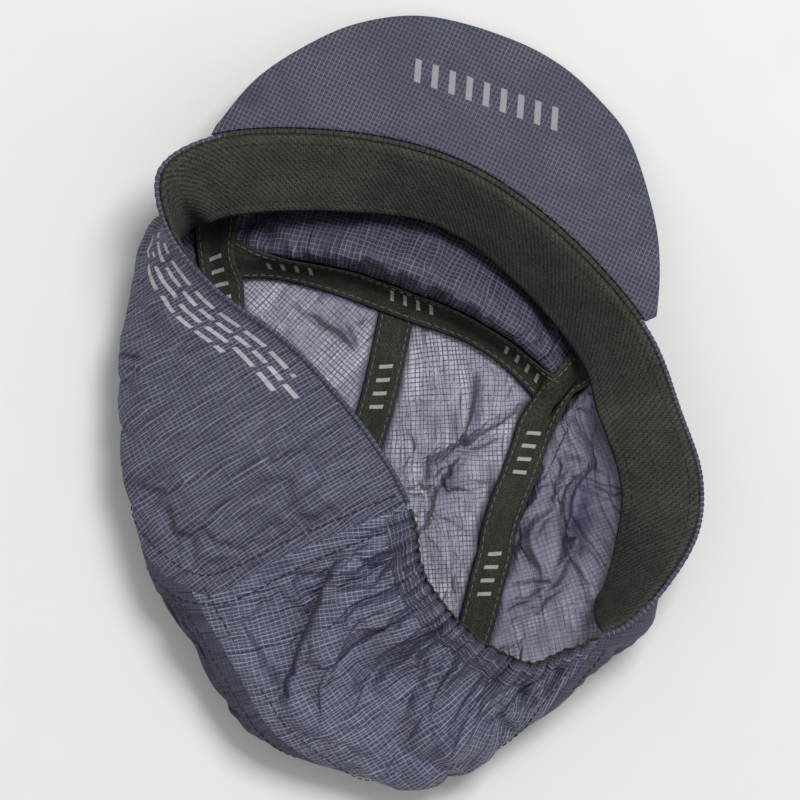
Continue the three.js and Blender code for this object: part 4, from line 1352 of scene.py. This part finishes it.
round_way = np.append(0, np.cumsum(np.linalg.norm(np.diff(loops, axis=1), axis=2).mean(0)))
run = run_along(top_line) * GATHERED_BY
keep_values(casing, "flat_mm", vectors(*np.meshgrid(run, round_way, indexing="ij")))
print("casing", round(run[-1] / GATHERED_BY), "mm long, gathered from", round(run[-1]))

# %% The dark edge of the elastic
edge_centres = smoothed(loops[:, 0], 6) + into_hollow(place_at(casing_turns, 1.2)) * 0.1
edge_tangent = unit(np.gradient(edge_centres, axis=0))
edge_out = unit(np.cross(edge_tangent, crest))
tube("elastic_edge", edge_centres[::2], crest[::2], edge_out[::2], 0.5, plain_tape, sides=8, slot="tape")

# %% [markdown]
# ## The peak
# A curved board covered in the same ripstop on both faces. From the rim it tips down to the
# ground, and its edge is a clean fold. It is built as a grid from the rim to the outer edge with
# a face on each side and a rounded edge all round.

# %% Shape the peak
PEAK_SLOPE = 0.63
PEAK_THICK = 3.0
BOARD_HALF = 1.3
PEAK_ENDS = (44, -43.5)

# points of the outer edge in plan, from one end at the rim to the other
peak_edge = np.array([
    [-63, 89.5], [-48.6, 107.5], [-31.5, 119.6], [-14.4, 127.3], [8.4, 130], [38.5, 121.9],
    [55.6, 112.6], [68.3, 100.8], [77.1, 89.4], [85.8, 61.3], [87.3, 45], [86, 27],
])
edge_fine = smooth_curve(vectors(*peak_edge.T), False, np.linspace(0, 1, 801))
edge_run = run_along(edge_fine)


def peak_points(u, v):
    """Middle points of the peak at shares u round the rim and v outward."""
    point, tangent, outward = rim_frame(PEAK_ENDS[0] + (PEAK_ENDS[1] - PEAK_ENDS[0]) * u)
    inner = point + outward * 1.1
    outer = [np.interp(u * edge_run[-1], edge_run, edge_fine[:, k]) for k in (0, 1)]
    outer = vectors(*outer, inner[:, 2])
    reach = np.linalg.norm(outer - inner, axis=1)
    points = inner + (outer - inner) * v[:, None]
    points[:, 2] = np.maximum(points[:, 2] - PEAK_SLOPE * reach * v, PEAK_THICK / 2 + 0.4)
    return points


PEAK_COLUMNS = 120
PEAK_ROWS = 46
u_steps = np.linspace(0.004, 0.996, PEAK_COLUMNS)
u, v = np.meshgrid(u_steps, np.linspace(0, 1, PEAK_ROWS), indexing="ij")
peak_grid = peak_points(u.ravel(), v.ravel()).reshape(*u.shape, 3)
for step in range(3):
    peak_grid[:, 1:-1, 2] = (peak_grid[:, :-2, 2] + 2 * peak_grid[:, 1:-1, 2] + peak_grid[:, 2:, 2]) / 4
peak_normals = unit(np.cross(np.gradient(peak_grid, axis=0), np.gradient(peak_grid, axis=1)))
peak_normals = peak_normals * np.sign(peak_normals[..., 2:].mean())
inner_steps = np.diff(peak_grid, axis=1, prepend=peak_grid[:, :1])
inner_way = np.cumsum(np.linalg.norm(inner_steps, axis=2), axis=1)
side_steps = np.diff(peak_grid, axis=0, prepend=peak_grid[:1])
side_way = np.cumsum(np.linalg.norm(side_steps, axis=2), axis=0)
from_ends = np.minimum(inner_way + 0.2, inner_way[:, -1:] - inner_way)
from_edge = np.minimum(from_ends, np.minimum(side_way, side_way[-1:] - side_way))
swell = BOARD_HALF * np.sqrt(1 - (1 - np.clip(from_edge / BOARD_HALF, 0, 1)) ** 2) + 0.02
px, py = peak_grid[..., 0], peak_grid[..., 1]
swell = swell + 0.12 * noise(px / 14, py / 14) * np.clip(from_edge / 4, 0, 1)
peak_upper = peak_grid + peak_normals * swell[..., None]
peak_lower = peak_grid - peak_normals * swell[..., None]
size = PEAK_COLUMNS * PEAK_ROWS
upper_faces = grid_faces(PEAK_COLUMNS, PEAK_ROWS)
faces = upper_faces.tolist() + (upper_faces[:, ::-1] + size).tolist()
around = (
    [i * PEAK_ROWS for i in range(PEAK_COLUMNS)]
    + [(PEAK_COLUMNS - 1) * PEAK_ROWS + j for j in range(1, PEAK_ROWS)]
    + [i * PEAK_ROWS + PEAK_ROWS - 1 for i in reversed(range(PEAK_COLUMNS - 1))]
    + [j for j in reversed(range(1, PEAK_ROWS - 1))]
)
for a, b in zip(around, around[1:] + around[:1]):
    faces.append((b, a, a + size, b + size))
both_faces = np.stack([peak_upper, peak_lower])
peak = make_piece("peak_covered", both_faces, faces, peak_cloth, "peak", slot="ripstop")


def turned_flat(x, y, degrees):
    """Flat places on both faces of the peak, with x turned by so many degrees."""
    c, s = math.cos(math.radians(degrees)), math.sin(math.radians(degrees))
    return np.stack([vectors(x * c + y * s, -x * s + y * c)] * 2)


keep_values(peak, "flat_mm", turned_flat(px, py, -25))
keep_values(peak, "marks_mm", turned_flat(px - 28.8, py - 102.2, -19))
keep_values(peak, "hollow_face", np.concatenate([np.ones(size), np.zeros(size)]))

# %% [markdown]
# ## Floor, light and camera
# The cap lies on a plain pale floor under a broad soft light from the upper right of the
# picture. The camera looks straight down through a long lens, so near and far parts of the cap
# keep their true proportions.

# %% Lay the floor
floor_finish = Finish("pale_floor", Roughness=0.9, Specular_IOR_Level=0.1)
grain_noise = floor_finish.clouds(floor_finish.node("ShaderNodeTexCoord").also("Object"), 40.0, 2.0)
floor_colour = floor_finish.blend(grain_noise, (0.86, 0.85, 0.835, 1), (0.885, 0.875, 0.86, 1))
floor_finish.feed("Base Color", floor_colour)
floor_mesh = bpy.data.meshes.new("floor")
floor_mesh.from_pydata([(-3, -3, 0), (3, -3, 0), (3, 3, 0), (-3, 3, 0)], [], [(0, 1, 2, 3)])
floor_mesh.materials.append(floor_finish.material)
floor = bpy.data.objects.new("floor", floor_mesh)
bpy.context.scene.collection.objects.link(floor)

# %% Light
world = bpy.data.worlds.new("studio")
bpy.context.scene.world = world
world.use_nodes = True
background = world.node_tree.nodes["Background"]
background.inputs["Color"].default_value = (1.0, 0.99, 0.985, 1)
background.inputs["Strength"].default_value = 0.44
lamp = bpy.data.lights.new("key", "AREA")
lamp.size = 1.3
lamp.energy = 80
light = bpy.data.objects.new("key", lamp)
light.location = in_model(np.array([1100, 1500, 2900]))
light.rotation_euler = Vector(light.location).to_track_quat("Z", "Y").to_euler()
bpy.context.scene.collection.objects.link(light)

# %% Camera
CAMERA_HEIGHT = 2400
SCALE_HEIGHT = 28
SENSOR = 36
PICTURE_WIDTH = 800 * PIXEL

# a millimetre that lies SCALE_HEIGHT above the ground has the size that PIXEL gives it
lens = bpy.data.cameras.new("camera")
lens.sensor_width = SENSOR
lens.lens = SENSOR / PICTURE_WIDTH * (CAMERA_HEIGHT - SCALE_HEIGHT)
camera = bpy.data.objects.new("camera", lens)
camera.location = in_model(np.array([0, 0, CAMERA_HEIGHT]))
camera.rotation_euler = (0, 0, PLAN_TURN)
lens.clip_end = 20
bpy.context.scene.collection.objects.link(camera)
bpy.context.scene.camera = camera
bpy.context.scene.view_settings.view_transform = "Standard"

# %% Update the scene
bpy.context.view_layer.update()
